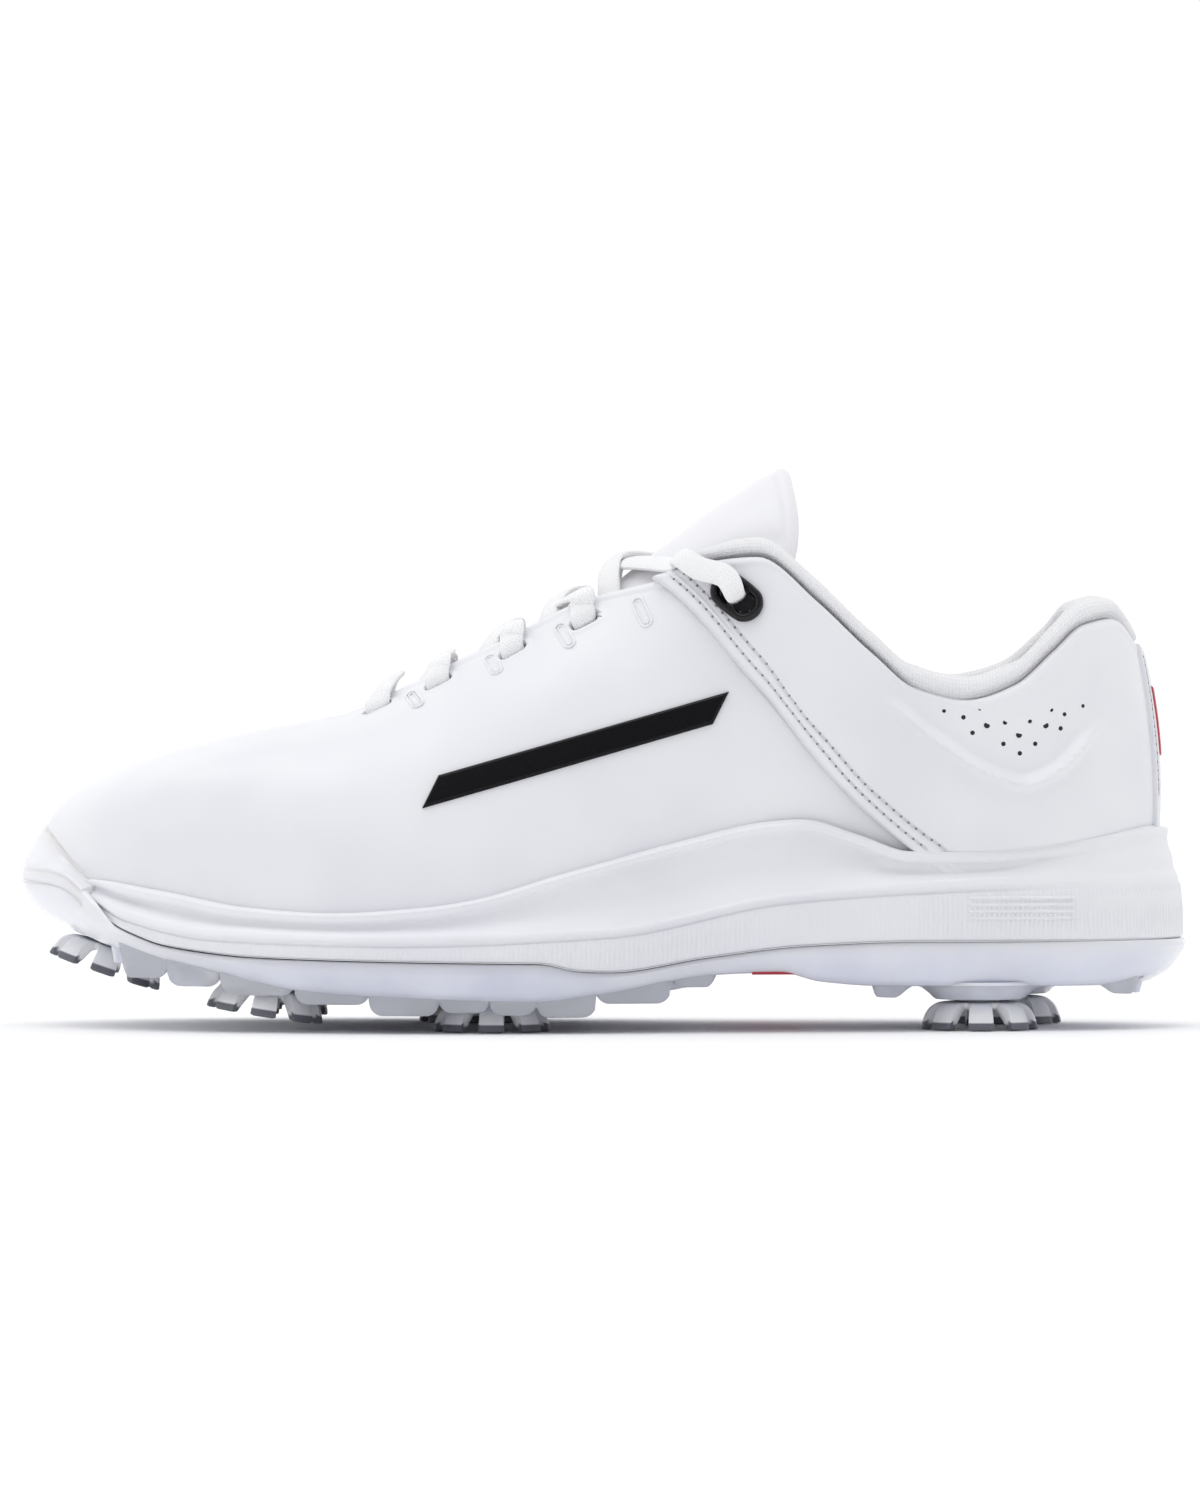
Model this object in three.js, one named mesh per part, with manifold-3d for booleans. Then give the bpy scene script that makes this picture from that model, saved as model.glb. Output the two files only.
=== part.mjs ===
// A golf shoe for the left foot, as it comes apart on a cobbler's bench. Millimetres, +Z up.
// The toe points along -X and the outer (lateral) side faces -Y. The shoe stands on z = 0.
import * as THREE from "three";
import { mergeVertices } from "three/addons/utils/BufferGeometryUtils.js";
import Module from "manifold-3d";

const wasm = await Module();
wasm.setup();

// ---------------------------------------------------------------- driving sizes

const LENGTH = 302; // sole, toe tip to heel
const WIDTH = 108; // sole, at the ball
const TONGUE_TOP = 145.3; // height of the tongue's upper edge
const EYESTAY_TOP = 115.5; // height of the throat's rear corners
const THROAT_FRONT = 80.5; // height of the throat's front edge
const LOBE_TOP = 121.5; // height of the leather lobes beside the top eyelets
const ANKLE_DIP = 84.9; // height of the leather edge under the ankle bone
const HEEL_PEAK = 105.5; // height of the leather edge beside the tendon
const HEEL_CENTRE = 97.5; // height of the leather edge at the back

const GAP = 0.3; // clearance between pieces that touch
const LAYER_GAP = 0.6; // clearance between curved sheets that lie on each other
const LEATHER = 1.8; // forepart and quarter leather
const STIFFENER = 1.0; // toe puff and eyestay backing
const COUNTER = 1.8; // heel counter
const LINING = 1.2;
const BOARD = 1.5; // lasting board
const SOCK_THICKNESS = 4.5;
const TONGUE_THICKNESS = 5;
const TRIM = 0.8; // marks and tabs
const BACK_STAY = 1.2;

const CLEAT_SPAN = 30;
const CLEAT_HEIGHT = 7.7;
const CLEAT_LEGS = 8;
const POST_RADIUS = 5.2;
const POST_LENGTH = 2.7;
const POST_CLEARANCE = 0.4;
const SOCKET_RADIUS = 9.4;
const SOCKET_DEPTH = 3.8;
const BOSS_RADIUS = 12.5;
const BOSS_HEIGHT = 4.4;

const LACE_WIDTH = 6.4;
const LACE_THICKNESS = 1.3;
const SLOT_CLEARANCE = 0.45;
const AGLET_RADIUS = 1.3;
const EYELET_LENGTH = 15.6;
const EYELET_WIDTH = 9;
const EYELET_RIM = 1;
const EYELET_WALL = 0.5;
const LACE_PINCH = 0.8; // the lace's share of its width where it goes through an eyelet

// ---------------------------------------------------------------- curves along the shoe

// A smooth curve through [place, value] pairs. It never overshoots a pair and is level past the ends.
function through(...pairs) {
  const x = pairs.map((pair) => pair[0]);
  const y = pairs.map((pair) => pair[1]);
  const last = x.length - 1;
  const slope = x.slice(1).map((next, i) => (y[i + 1] - y[i]) / (next - x[i]));
  const tangent = x.map((_, i) => {
    if (i === 0) return slope[0];
    if (i === last) return slope[last - 1];
    const before = slope[i - 1];
    const after = slope[i];
    return before * after > 0 ? (2 * before * after) / (before + after) : 0;
  });
  return (at) => {
    if (at <= x[0]) return y[0];
    if (at >= x[last]) return y[last];
    const i = x.findIndex((next) => at < next) - 1;
    const width = x[i + 1] - x[i];
    const t = (at - x[i]) / width;
    const a = 2 * t ** 3 - 3 * t ** 2 + 1;
    const b = t ** 3 - 2 * t ** 2 + t;
    const c = t ** 3 - t ** 2;
    return a * y[i] + (1 - a) * y[i + 1] + width * (b * tangent[i] + c * tangent[i + 1]);
  };
}

// Places along the shoe are shares of its length, 0 at the toe and 1 at the heel.
const shareAt = (x) => x / LENGTH + 0.5;
const xAt = (share) => (share - 0.5) * LENGTH;

const halfWidth = through([0, 0.93], [0.12, 1], [0.3, 1.026], [0.4, 1.01], [0.5, 0.9], [0.62, 0.775],
  [0.74, 0.745], [0.87, 0.75], [1, 0.75]);
const centreLine = through([0, 8], [0.16, 4.5], [0.3, 1.3], [0.44, -1.2], [0.62, -2], [0.77, 0.4],
  [1, 1.5]);
const floorHeight = through([0, 37], [0.09, 31.5], [0.17, 26.5], [0.3, 23.2], [0.43, 25], [0.57, 31],
  [0.7, 35.5], [0.83, 37], [1, 38.5]);
const lipHeight = through([0, 38.6], [0.043, 38.6], [0.113, 35.9], [0.192, 31.8], [0.265, 30.5],
  [0.343, 31.9], [0.388, 33.9], [0.473, 40.9], [0.573, 48.9], [0.639, 53.2], [0.671, 53.9],
  [0.72, 50], [0.762, 46], [0.812, 45.8], [0.884, 47.4], [0.98, 51.8]);
const ridgeHeight = through([0, 37.2], [0.043, 35], [0.09, 29.5], [0.166, 24.9], [0.31, 23.6],
  [0.507, 26], [0.653, 34.4], [0.766, 37], [0.987, 39.3]);
const plateTop = through([0, 36.2], [0.043, 32.5], [0.064, 29.5], [0.09, 25.4], [0.129, 21.5],
  [0.205, 19], [0.343, 18], [0.447, 17.6], [0.48, 15.7], [0.507, 15.4], [0.589, 19], [0.671, 21.9],
  [0.77, 22.9], [1, 22.9]);
const underside = through([0, 28.6], [0.03, 27.4], [0.076, 21.8], [0.17, 15.2], [0.239, 10.8],
  [0.295, 9.4], [0.366, 8.5], [0.445, 7.9], [0.495, 9.6], [0.598, 14.7], [0.65, 15.2], [0.685, 12.8],
  [0.74, 11.6], [0.93, 11.4], [1, 13.2]);
const bumperHeight = through([0, 5.2], [0.035, 7], [0.058, 4.4], [0.085, 0.05]);
const bumperDepth = through([0.035, 3.9], [0.09, 0]);
const edgeLift = through([0, 5.4], [0.05, 4.6], [0.12, 2.6], [0.9, 2.4], [1, 5.6]);

// ---------------------------------------------------------------- footprint and upper surface

// Round the shoe runs sigma: 0 at the toe, -1 or +1 at the heel, negative on the outer side.
const foldSigma = (sigma) => ((((sigma + 1) % 2) + 2) % 2) - 1;

function solePoint(sigma) {
  const folded = foldSigma(sigma);
  const reach = -Math.cos(Math.PI * folded);
  const power = reach < 0 ? 3.1 : 4.6;
  const rounding = Math.sqrt(Math.max(0, 1 - Math.abs(reach) ** power));
  const share = 0.5 + reach / 2;
  const half = (WIDTH / 2) * halfWidth(share) * rounding;
  return new THREE.Vector2(xAt(share), centreLine(share) + Math.sign(folded) * half);
}

function soleOutward(sigma) {
  const step = 1e-3;
  const run = solePoint(sigma + step).sub(solePoint(sigma - step)).normalize();
  return new THREE.Vector2(-run.y, run.x);
}

// The footprint moved inwards by a distance.
function soleInset(sigma, inset) {
  return solePoint(sigma).addScaledVector(soleOutward(sigma), -inset);
}

const soleShare = (sigma) => shareAt(solePoint(sigma).x);

// The upper's lower edge stands inside the footprint by this much, by |sigma|.
const footInset = through([0, 5.4], [0.2, 6.4], [0.5, 7.2], [0.75, 7.6], [0.9, 10.6], [1, 12.2]);

// The upper's top edge, by |sigma|: the throat, the lobes beside the eyelets and the collar.
const edgeX = through([0, 0.2715], [0.1, 0.275], [0.18, 0.285], [0.27, 0.308], [0.337, 0.351],
  [0.4, 0.42], [0.452, 0.483], [0.5, 0.54], [0.548, 0.589], [0.588, 0.632], [0.622, 0.679],
  [0.658, 0.725], [0.691, 0.765], [0.7266, 0.808], [0.768, 0.848], [0.806, 0.881], [0.842, 0.907],
  [0.882, 0.929], [0.935, 0.946], [1, 0.952]);
const edgeY = through([0, 0], [0.1, 5.5], [0.18, 8.6], [0.27, 10.4], [0.337, 11.8], [0.4, 14],
  [0.452, 17.5], [0.5, 22.5], [0.548, 27], [0.588, 30], [0.622, 32.3], [0.658, 33.8],
  [0.691, 34.2], [0.7266, 33.8], [0.768, 31.8], [0.806, 28.5], [0.842, 24.3], [0.882, 18],
  [0.935, 9.6], [1, 0]);
const edgeZ = through([0, THROAT_FRONT], [0.1, THROAT_FRONT], [0.18, THROAT_FRONT + 1],
  [0.27, THROAT_FRONT + 4.5], [0.337, 0.68 * THROAT_FRONT + 0.32 * EYESTAY_TOP],
  [0.4, 0.4 * THROAT_FRONT + 0.6 * EYESTAY_TOP], [0.452, EYESTAY_TOP - 4.5], [0.5, EYESTAY_TOP],
  [0.548, LOBE_TOP - 1.5], [0.588, LOBE_TOP], [0.622, 0.7 * LOBE_TOP + 0.3 * ANKLE_DIP],
  [0.658, 0.34 * LOBE_TOP + 0.66 * ANKLE_DIP], [0.691, ANKLE_DIP + 3], [0.7266, ANKLE_DIP],
  [0.768, ANKLE_DIP + 3.6], [0.806, HEEL_PEAK - 8.5], [0.842, HEEL_PEAK - 1.5], [0.882, HEEL_PEAK],
  [0.935, HEEL_CENTRE + 2.5], [1, HEEL_CENTRE]);

// How the wall leaves its two ends, by |sigma|: lean and rise at the foot, reach and drop at the top.
const footLean = through([0, 6], [0.1, 5.2], [0.2, 3.6], [0.4, 3], [0.6, 1.8], [0.85, 3.5], [1, 4.2]);
const footRise = through([0, 24], [0.2, 29], [0.4, 33], [0.6, 26], [0.7266, 17], [0.85, 19], [1, 20]);
const topReach = through([0, 57], [0.12, 50], [0.27, 31], [0.4, 24], [0.5, 14], [0.588, 6],
  [0.7266, 2.5], [1, 4.5]);
const topDrop = through([0, 10.5], [0.27, 13], [0.4, 16], [0.5, 22], [0.588, 26], [0.7266, 15],
  [1, 16]);

// A point of the upper's surface. v runs from 0 at the foot to 1 at the top edge.
function upperPoint(sigma, v) {
  const folded = foldSigma(sigma);
  const s = Math.abs(folded);
  const side = Math.sign(folded);
  const out = soleOutward(folded);
  const foot = soleInset(folded, footInset(s));
  const low = new THREE.Vector3(foot.x, foot.y, floorHeight(soleShare(folded)) + GAP);
  const share = edgeX(s);
  const high = new THREE.Vector3(xAt(share), centreLine(share) + side * edgeY(s), edgeZ(s));
  const lowHandle = low.clone();
  lowHandle.x += out.x * footLean(s);
  lowHandle.y += out.y * footLean(s);
  lowHandle.z += footRise(s);
  const highHandle = high.clone();
  highHandle.x += out.x * topReach(s);
  highHandle.y += out.y * topReach(s);
  highHandle.z -= topDrop(s);
  const w = 1 - v;
  return low.multiplyScalar(w ** 3)
    .addScaledVector(lowHandle, 3 * w * w * v)
    .addScaledVector(highHandle, 3 * w * v * v)
    .addScaledVector(high, v ** 3);
}

function upperNormal(sigma, v) {
  const step = 2e-3;
  const along = upperPoint(sigma + step, v).sub(upperPoint(sigma - step, v));
  const up = upperPoint(sigma, v + step).sub(upperPoint(sigma, v - step));
  return up.cross(along).normalize();
}

// The upper's surface moved outwards by a distance, or inwards where it is negative.
function upperAt(sigma, v, offset) {
  return upperPoint(sigma, v).addScaledVector(upperNormal(sigma, v), offset);
}

// The v at which the wall reaches a height.
function upperHeight(sigma, z) {
  let low = 0;
  let high = 0.7;
  for (let i = 0; i < 24; i++) {
    const middle = (low + high) / 2;
    if (upperPoint(sigma, middle).z < z) low = middle;
    else high = middle;
  }
  return (low + high) / 2;
}

// The (sigma, v) of the wall at a share of the length and a height, on one side.
function onWall(side, share, z) {
  let sigma = side * (0.35 + 0.3 * share);
  let v = 0.5;
  for (let i = 0; i < 30; i++) {
    const step = 1e-3;
    const here = upperPoint(sigma, v);
    const bySigma = upperPoint(sigma + step, v).sub(here).divideScalar(step);
    const byV = upperPoint(sigma, v + step).sub(here).divideScalar(step);
    const dx = xAt(share) - here.x;
    const dz = z - here.z;
    const det = bySigma.x * byV.z - byV.x * bySigma.z;
    sigma += (0.7 * (dx * byV.z - byV.x * dz)) / det;
    v = Math.min(1, Math.max(0, v + (0.7 * (bySigma.x * dz - bySigma.z * dx)) / det));
  }
  return [sigma, v];
}

// The diagonal seam where the quarter overlaps the forepart, as |sigma| by v.
const seamSigma = through([0, 0.706], [0.1, 0.69], [0.45, 0.62], [1, 0.502]);

// ---------------------------------------------------------------- solids from grids

// A closed mesh from points and triangles, turned so that its faces point out.
function closedMesh(points, triangles) {
  let volume = 0;
  for (const [a, b, c] of triangles) {
    volume += points[a].dot(points[b].clone().cross(points[c])) / 6;
  }
  const index = triangles.flatMap(([a, b, c]) => (volume > 0 ? [a, b, c] : [a, c, b]));
  return new THREE.BufferGeometry()
    .setAttribute("position", new THREE.Float32BufferAttribute(points.flatMap((p) => p.toArray()), 3))
    .setIndex(index);
}

// A sheet between two grids of points, grid[column][row]. A looped one has no end columns.
function sheetSolid(outer, inner, looped = false) {
  const columns = outer.length;
  const rows = outer[0].length;
  const points = [...outer.flat(), ...inner.flat()];
  const at = (layer, column, row) => (layer * columns + (column % columns)) * rows + row;
  const triangles = [];
  const quad = (a, b, c, d) => triangles.push([a, b, c], [a, c, d]);
  const lastColumn = looped ? columns : columns - 1;
  for (let i = 0; i < lastColumn; i++) {
    for (let j = 0; j < rows - 1; j++) {
      quad(at(0, i, j), at(0, i + 1, j), at(0, i + 1, j + 1), at(0, i, j + 1));
      quad(at(1, i, j), at(1, i, j + 1), at(1, i + 1, j + 1), at(1, i + 1, j));
    }
    quad(at(1, i, 0), at(1, i + 1, 0), at(0, i + 1, 0), at(0, i, 0));
    quad(at(0, i, rows - 1), at(0, i + 1, rows - 1), at(1, i + 1, rows - 1), at(1, i, rows - 1));
  }
  if (!looped) {
    for (let j = 0; j < rows - 1; j++) {
      quad(at(0, 0, j), at(0, 0, j + 1), at(1, 0, j + 1), at(1, 0, j));
      quad(at(1, columns - 1, j), at(1, columns - 1, j + 1), at(0, columns - 1, j + 1),
        at(0, columns - 1, j));
    }
  }
  return closedMesh(points, triangles);
}

// A sheet that follows the upper between two offsets. start and end give sigma by v.
function upperSheet({ columns, rows, start, end, low = 0, high = 1, outer, inner, looped = false }) {
  const grid = (offset) =>
    Array.from({ length: columns }, (_, i) =>
      Array.from({ length: rows }, (_, j) => {
        const v = low + ((high - low) * j) / (rows - 1);
        const share = i / (looped ? columns : columns - 1);
        return upperAt(start(v) + (end(v) - start(v)) * share, v, offset);
      }));
  return sheetSolid(grid(outer), grid(inner), looped);
}

// A solid of rings round the footprint, each (sigma) => Vector3, from the middle of its top to the
// middle of its underside, closed across the foot at both.
function ringSolid(rings, count = 60) {
  const half = count / 2;
  const grid = rings.map((ring) => Array.from({ length: count }, (_, i) => ring(i / half - 1)));
  const points = grid.flat();
  const triangles = [];
  for (let k = 0; k < rings.length - 1; k++) {
    for (let i = 0; i < count; i++) {
      const next = (i + 1) % count;
      triangles.push([k * count + i, k * count + next, (k + 1) * count + next]);
      triangles.push([k * count + i, (k + 1) * count + next, (k + 1) * count + i]);
    }
  }
  const cap = (k, turn) => {
    const add = (a, b, c) => triangles.push(turn ? [a, c, b] : [a, b, c]);
    const at = (i) => k * count + ((i + count) % count);
    const middle = [0];
    for (let i = 1; i < half; i++) {
      middle.push(points.length);
      points.push(points[at(half - i)].clone().add(points[at(half + i)]).multiplyScalar(0.5));
    }
    add(at(half - 1), at(half), middle[1]);
    add(at(half), at(half + 1), middle[1]);
    for (let i = 1; i < half - 1; i++) {
      add(at(half - i - 1), at(half - i), middle[i]);
      add(at(half - i - 1), middle[i], middle[i + 1]);
      add(at(half + i), at(half + i + 1), middle[i + 1]);
      add(at(half + i), middle[i + 1], middle[i]);
    }
    add(at(0), at(1), middle[half - 1]);
    add(at(-1), at(0), middle[half - 1]);
  };
  cap(0, true);
  cap(rings.length - 1, false);
  return closedMesh(points, triangles);
}

const soleRing = (inset, height) => (sigma) => {
  const share = soleShare(sigma);
  const point = soleInset(sigma, typeof inset === "function" ? inset(share) : inset);
  return new THREE.Vector3(point.x, point.y, height(share));
};

// ---------------------------------------------------------------- booleans

function solidOf(geometry) {
  const bare = geometry.clone();
  bare.deleteAttribute("normal");
  bare.deleteAttribute("uv");
  const merged = mergeVertices(bare, 1e-4);
  return new wasm.Manifold(new wasm.Mesh({
    numProp: 3,
    vertProperties: new Float32Array(merged.attributes.position.array),
    triVerts: new Uint32Array(merged.index.array),
  }));
}

function geometryOf(solid) {
  const mesh = solid.getMesh();
  return new THREE.BufferGeometry()
    .setAttribute("position", new THREE.BufferAttribute(new Float32Array(mesh.vertProperties), 3))
    .setIndex(new THREE.BufferAttribute(new Uint32Array(mesh.triVerts), 1));
}

const join = (...geometries) =>
  geometryOf(geometries.map(solidOf).reduce((sum, next) => sum.add(next)));
const cut = (body, ...tools) =>
  geometryOf(tools.map(solidOf).reduce((rest, tool) => rest.subtract(tool), solidOf(body)));

// ---------------------------------------------------------------- the assembly

const shoe = new THREE.Group();

function add(name, geometry, colour, roughness, metalness = 0, parent = shoe) {
  const material = new THREE.MeshStandardMaterial({ color: colour, roughness, metalness });
  const mesh = new THREE.Mesh(geometry, material);
  mesh.name = name;
  parent.add(mesh);
  return mesh;
}

const WHITE = "#eeeeee";
const SHADE = "#e2e4ee";
const BLACK = "#0c0c0e";
const RED = "#c4263a";

// ---------------------------------------------------------------- lace slots and eyelets

// A tool that cuts a stadium-shaped hole through the wall at (sigma, v), long along a direction.
function wallHole(sigma, v, along, length, width, depth, lift = 0) {
  const normal = upperNormal(sigma, v);
  const long = along.clone().addScaledVector(normal, -along.dot(normal)).normalize();
  const across = normal.clone().cross(long);
  const straight = (length - width) / 2;
  const outline = new THREE.Shape();
  outline.absarc(straight, 0, width / 2, -Math.PI / 2, Math.PI / 2);
  outline.absarc(-straight, 0, width / 2, Math.PI / 2, (3 * Math.PI) / 2);
  const tool = new THREE.ExtrudeGeometry(outline, { depth, bevelEnabled: false, curveSegments: 3 });
  tool.translate(0, 0, lift - depth / 2);
  const place = new THREE.Matrix4().makeBasis(long, across, normal);
  place.setPosition(upperPoint(sigma, v));
  return tool.applyMatrix4(place);
}

const THROAT_RUN = new THREE.Vector3(0.85, 0, 0.53); // the way the eyestays climb
const EYELET_RUN = new THREE.Vector3(0.77, 0, -0.64); // the way the top eyelets slope
const SLOT_ROWS = [0.29, 0.352, 0.405, 0.452]; // |sigma| of the four pairs of slots
const SLOT_V = 0.905;

const slotHoles = [-1, 1].flatMap((side) =>
  SLOT_ROWS.map((s) => wallHole(side * s, SLOT_V, THROAT_RUN, LACE_WIDTH + 2 * SLOT_CLEARANCE,
    LACE_THICKNESS + 2 * SLOT_CLEARANCE + 1.4, 10)));

const EYELET_SHARE = 0.6146;
const EYELET_HEIGHT = LOBE_TOP - 10.6;
const eyeletPlaces = [-1, 1].map((side) => onWall(side, EYELET_SHARE, EYELET_HEIGHT));
const eyeletHoles = eyeletPlaces.map(([sigma, v]) => wallHole(sigma, v, EYELET_RUN,
  EYELET_LENGTH - 2 * EYELET_RIM + 2 * GAP, EYELET_WIDTH - 2 * EYELET_RIM + 2 * GAP, 30));

// ---------------------------------------------------------------- upper

// The forepart runs on under the quarter by this much of |sigma|, by v.
const seamOverlap = through([0, 0.045], [0.6, 0.042], [0.85, 0.022], [1, 0.016]);
const frontEnd = (v) => seamSigma(v) + seamOverlap(v);
const vamp = upperSheet({
  columns: 43, rows: 10, outer: 0, inner: -LEATHER,
  start: (v) => -frontEnd(v), end: frontEnd,
});
add("upper_vamp", cut(vamp, ...slotHoles), WHITE, 0.45);

const quarter = upperSheet({
  columns: 37, rows: 9, outer: LEATHER + LAYER_GAP, inner: LAYER_GAP,
  start: seamSigma, end: (v) => 2 - seamSigma(v),
});
add("heel_quarter", cut(quarter, ...eyeletHoles), WHITE, 0.45);

const stayOffset = LEATHER + 2 * LAYER_GAP;
add("back_stay", upperSheet({
  columns: 5, rows: 7, low: 0.3, high: 0.97, outer: stayOffset + BACK_STAY, inner: stayOffset,
  start: () => 1 - 0.055, end: () => 1 + 0.055,
}), WHITE, 0.45);

add("heel_tab", upperSheet({
  columns: 3, rows: 4, low: 0.5, high: 0.8,
  outer: stayOffset + BACK_STAY + LAYER_GAP + TRIM, inner: stayOffset + BACK_STAY + LAYER_GAP,
  start: () => 1 - 0.02, end: () => 1 + 0.02,
}), RED, 0.5);

const PUFF_OFFSET = -(LEATHER + LAYER_GAP);
add("toe_puff", upperSheet({
  columns: 17, rows: 6, low: 0.05, high: 0.62, outer: PUFF_OFFSET, inner: PUFF_OFFSET - STIFFENER,
  start: () => -0.21, end: () => 0.21,
}), "#c9b48a", 0.8);

const LINING_OFFSET = PUFF_OFFSET - STIFFENER - LAYER_GAP;
add("vamp_lining", upperSheet({
  columns: 29, rows: 6, low: 0.09, high: 0.76, outer: LINING_OFFSET, inner: LINING_OFFSET - LINING,
  start: () => -0.58, end: () => 0.58,
}), SHADE, 0.9);

add("heel_counter", upperSheet({
  columns: 17, rows: 4, low: 0.02, high: 0.42, outer: 0, inner: -COUNTER,
  start: () => 0.775, end: () => 1.225,
}), "#c9b48a", 0.8);

// The lining lies on the counter and, at its front, on the forepart's leather.
const HEEL_LINING_OFFSET = -Math.max(COUNTER, LEATHER) - LAYER_GAP;
add("heel_lining", upperSheet({
  columns: 25, rows: 4, low: 0.09, high: 0.42,
  outer: HEEL_LINING_OFFSET, inner: HEEL_LINING_OFFSET - LINING,
  start: () => 0.61, end: () => 1.39,
}), SHADE, 0.9);

for (const [name, side] of [["lateral", -1], ["medial", 1]]) {
  const backing = upperSheet({
    columns: 13, rows: 4, low: 0.83, high: 0.975,
    outer: PUFF_OFFSET - 0.5, inner: PUFF_OFFSET - 0.5 - STIFFENER,
    start: () => side * 0.24, end: () => side * 0.485,
  });
  add("eyestay_" + name, cut(backing, ...slotHoles), SHADE, 0.8);
}

// ---------------------------------------------------------------- padded collar

// The roll's section, as [up from the leather edge, out from the surface], anticlockwise.
const ROLL_SECTION = [[-20, 0], [-10, 0], [0, 0], [1.4, 0.6], [2.6, 2.6], [4.6, 2.2], [6.2, 0.2],
  [6.8, -2.4], [6, -5], [3.4, -6.6], [-4, -7], [-13, -6], [-20, -4]];
const rollDepth = through([0.53, 0.42], [0.6, 0.5], [0.66, 0.95], [0.75, 1]);
const rollHeight = through([0.53, 0.55], [0.56, 0.8], [0.6, 1]);
const rollSink = through([0.66, LEATHER + LAYER_GAP], [0.7, GAP]);
const ROLL_START = 0.53;
const ROLL_COLUMNS = 37;

function rollPoint(sigma, [up, out]) {
  const s = Math.abs(foldSigma(sigma));
  const edge = upperPoint(sigma, 1);
  const normal = upperNormal(sigma, 1);
  const climb = edge.clone().sub(upperPoint(sigma, 0.98)).normalize();
  if (up <= 0) {
    const v = 1 + up / edge.distanceTo(upperPoint(sigma, 0)) / 1.06;
    return upperAt(sigma, v, out * rollDepth(s) - rollSink(s));
  }
  const away = out < 0 ? out * rollDepth(s) - rollSink(s) : out * rollHeight(s);
  return edge.addScaledVector(climb, up * rollHeight(s)).addScaledVector(normal, away);
}

function rollSolid() {
  const count = ROLL_SECTION.length;
  const points = [];
  for (let i = 0; i < ROLL_COLUMNS; i++) {
    const sigma = ROLL_START + ((2 - 2 * ROLL_START) * i) / (ROLL_COLUMNS - 1);
    points.push(...ROLL_SECTION.map((place) => rollPoint(sigma, place)));
  }
  const triangles = [];
  for (let i = 0; i < ROLL_COLUMNS - 1; i++) {
    for (let j = 0; j < count; j++) {
      const a = i * count + j;
      const b = i * count + ((j + 1) % count);
      triangles.push([a, b, b + count], [a, b + count, a + count]);
    }
  }
  const ends = THREE.ShapeUtils.triangulateShape(
    ROLL_SECTION.map(([up, out]) => new THREE.Vector2(up, out)), []);
  const lastRing = (ROLL_COLUMNS - 1) * count;
  for (const [a, b, c] of ends) {
    triangles.push([a, b, c], [lastRing + a, lastRing + c, lastRing + b]);
  }
  return closedMesh(points, triangles);
}
add("collar_lining", cut(rollSolid(), ...eyeletHoles), WHITE, 0.9);

// ---------------------------------------------------------------- eyelets

// An oblong grommet: a flanged ring with a barrel through the leather.
function eyelet([sigma, v]) {
  const flange = wallHole(sigma, v, EYELET_RUN, EYELET_LENGTH, EYELET_WIDTH, 1.2,
    LEATHER + 2 * GAP + 1);
  const barrel = wallHole(sigma, v, EYELET_RUN, EYELET_LENGTH - 2 * EYELET_RIM,
    EYELET_WIDTH - 2 * EYELET_RIM, 3.6, LEATHER + 2 * GAP - 1);
  const bore = wallHole(sigma, v, EYELET_RUN, EYELET_LENGTH - 2 * EYELET_RIM - 2 * EYELET_WALL,
    EYELET_WIDTH - 2 * EYELET_RIM - 2 * EYELET_WALL, 40);
  return cut(join(flange, barrel), bore);
}
add("eyelet_lateral", eyelet(eyeletPlaces[0]), BLACK, 0.2);
add("eyelet_medial", eyelet(eyeletPlaces[1]), BLACK, 0.2);

// ---------------------------------------------------------------- side marks

// A plain straight bar with parallel ends, laid on the forepart's side.
const MARK_START = { share: 0.353, height: 61.5 };
const MARK_END = { share: 0.6, height: 83 };
const MARK_WIDTH = 8.5;

function sideMark(side) {
  const columns = 11;
  const rows = 3;
  const grid = (offset) =>
    Array.from({ length: columns }, (_, i) =>
      Array.from({ length: rows }, (_, j) => {
        const t = i / (columns - 1);
        const lift = (j / (rows - 1) - 0.5) * MARK_WIDTH;
        const share = THREE.MathUtils.lerp(MARK_START.share, MARK_END.share, t) + lift / LENGTH / 2;
        const z = THREE.MathUtils.lerp(MARK_START.height, MARK_END.height, t) + lift;
        const [sigma, v] = onWall(side, share, z);
        return upperAt(sigma, v, offset);
      }));
  return sheetSolid(grid(GAP + TRIM), grid(GAP));
}
add("side_mark_lateral", sideMark(-1), BLACK, 0.2);
add("side_mark_medial", sideMark(1), BLACK, 0.2);

// ---------------------------------------------------------------- tongue

// Its upper face on the middle line, as shares of the length and heights.
const TONGUE_LINE = [
  [0.235, THROAT_FRONT - 7.2],
  [0.29, THROAT_FRONT - 1.4],
  [0.38, THROAT_FRONT + 11.5],
  [0.47, EYESTAY_TOP - 9],
  [0.54, EYESTAY_TOP + 6],
  [0.6, TONGUE_TOP - 10.5],
  [0.655, TONGUE_TOP],
];
const tongueHalf = through([0, 15], [0.25, 20], [0.5, 20.5], [0.75, 19], [0.88, 20.5], [1, 22]);
const tongueBow = through([0, 0.02], [0.2, 0.03], [0.55, 0.028], [0.75, 0.026], [1, 0.052]);
const tonguePlumb = through([0.6, 0], [1, 0.5]); // how far its wings' fall turns towards plumb
const TONGUE_CORNER = 0.045; // its corners stop short of its end by this share of its length

const tongueLine = new THREE.CatmullRomCurve3(
  TONGUE_LINE.map(([share, z]) => new THREE.Vector3(xAt(share), centreLine(share), z)));

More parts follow.
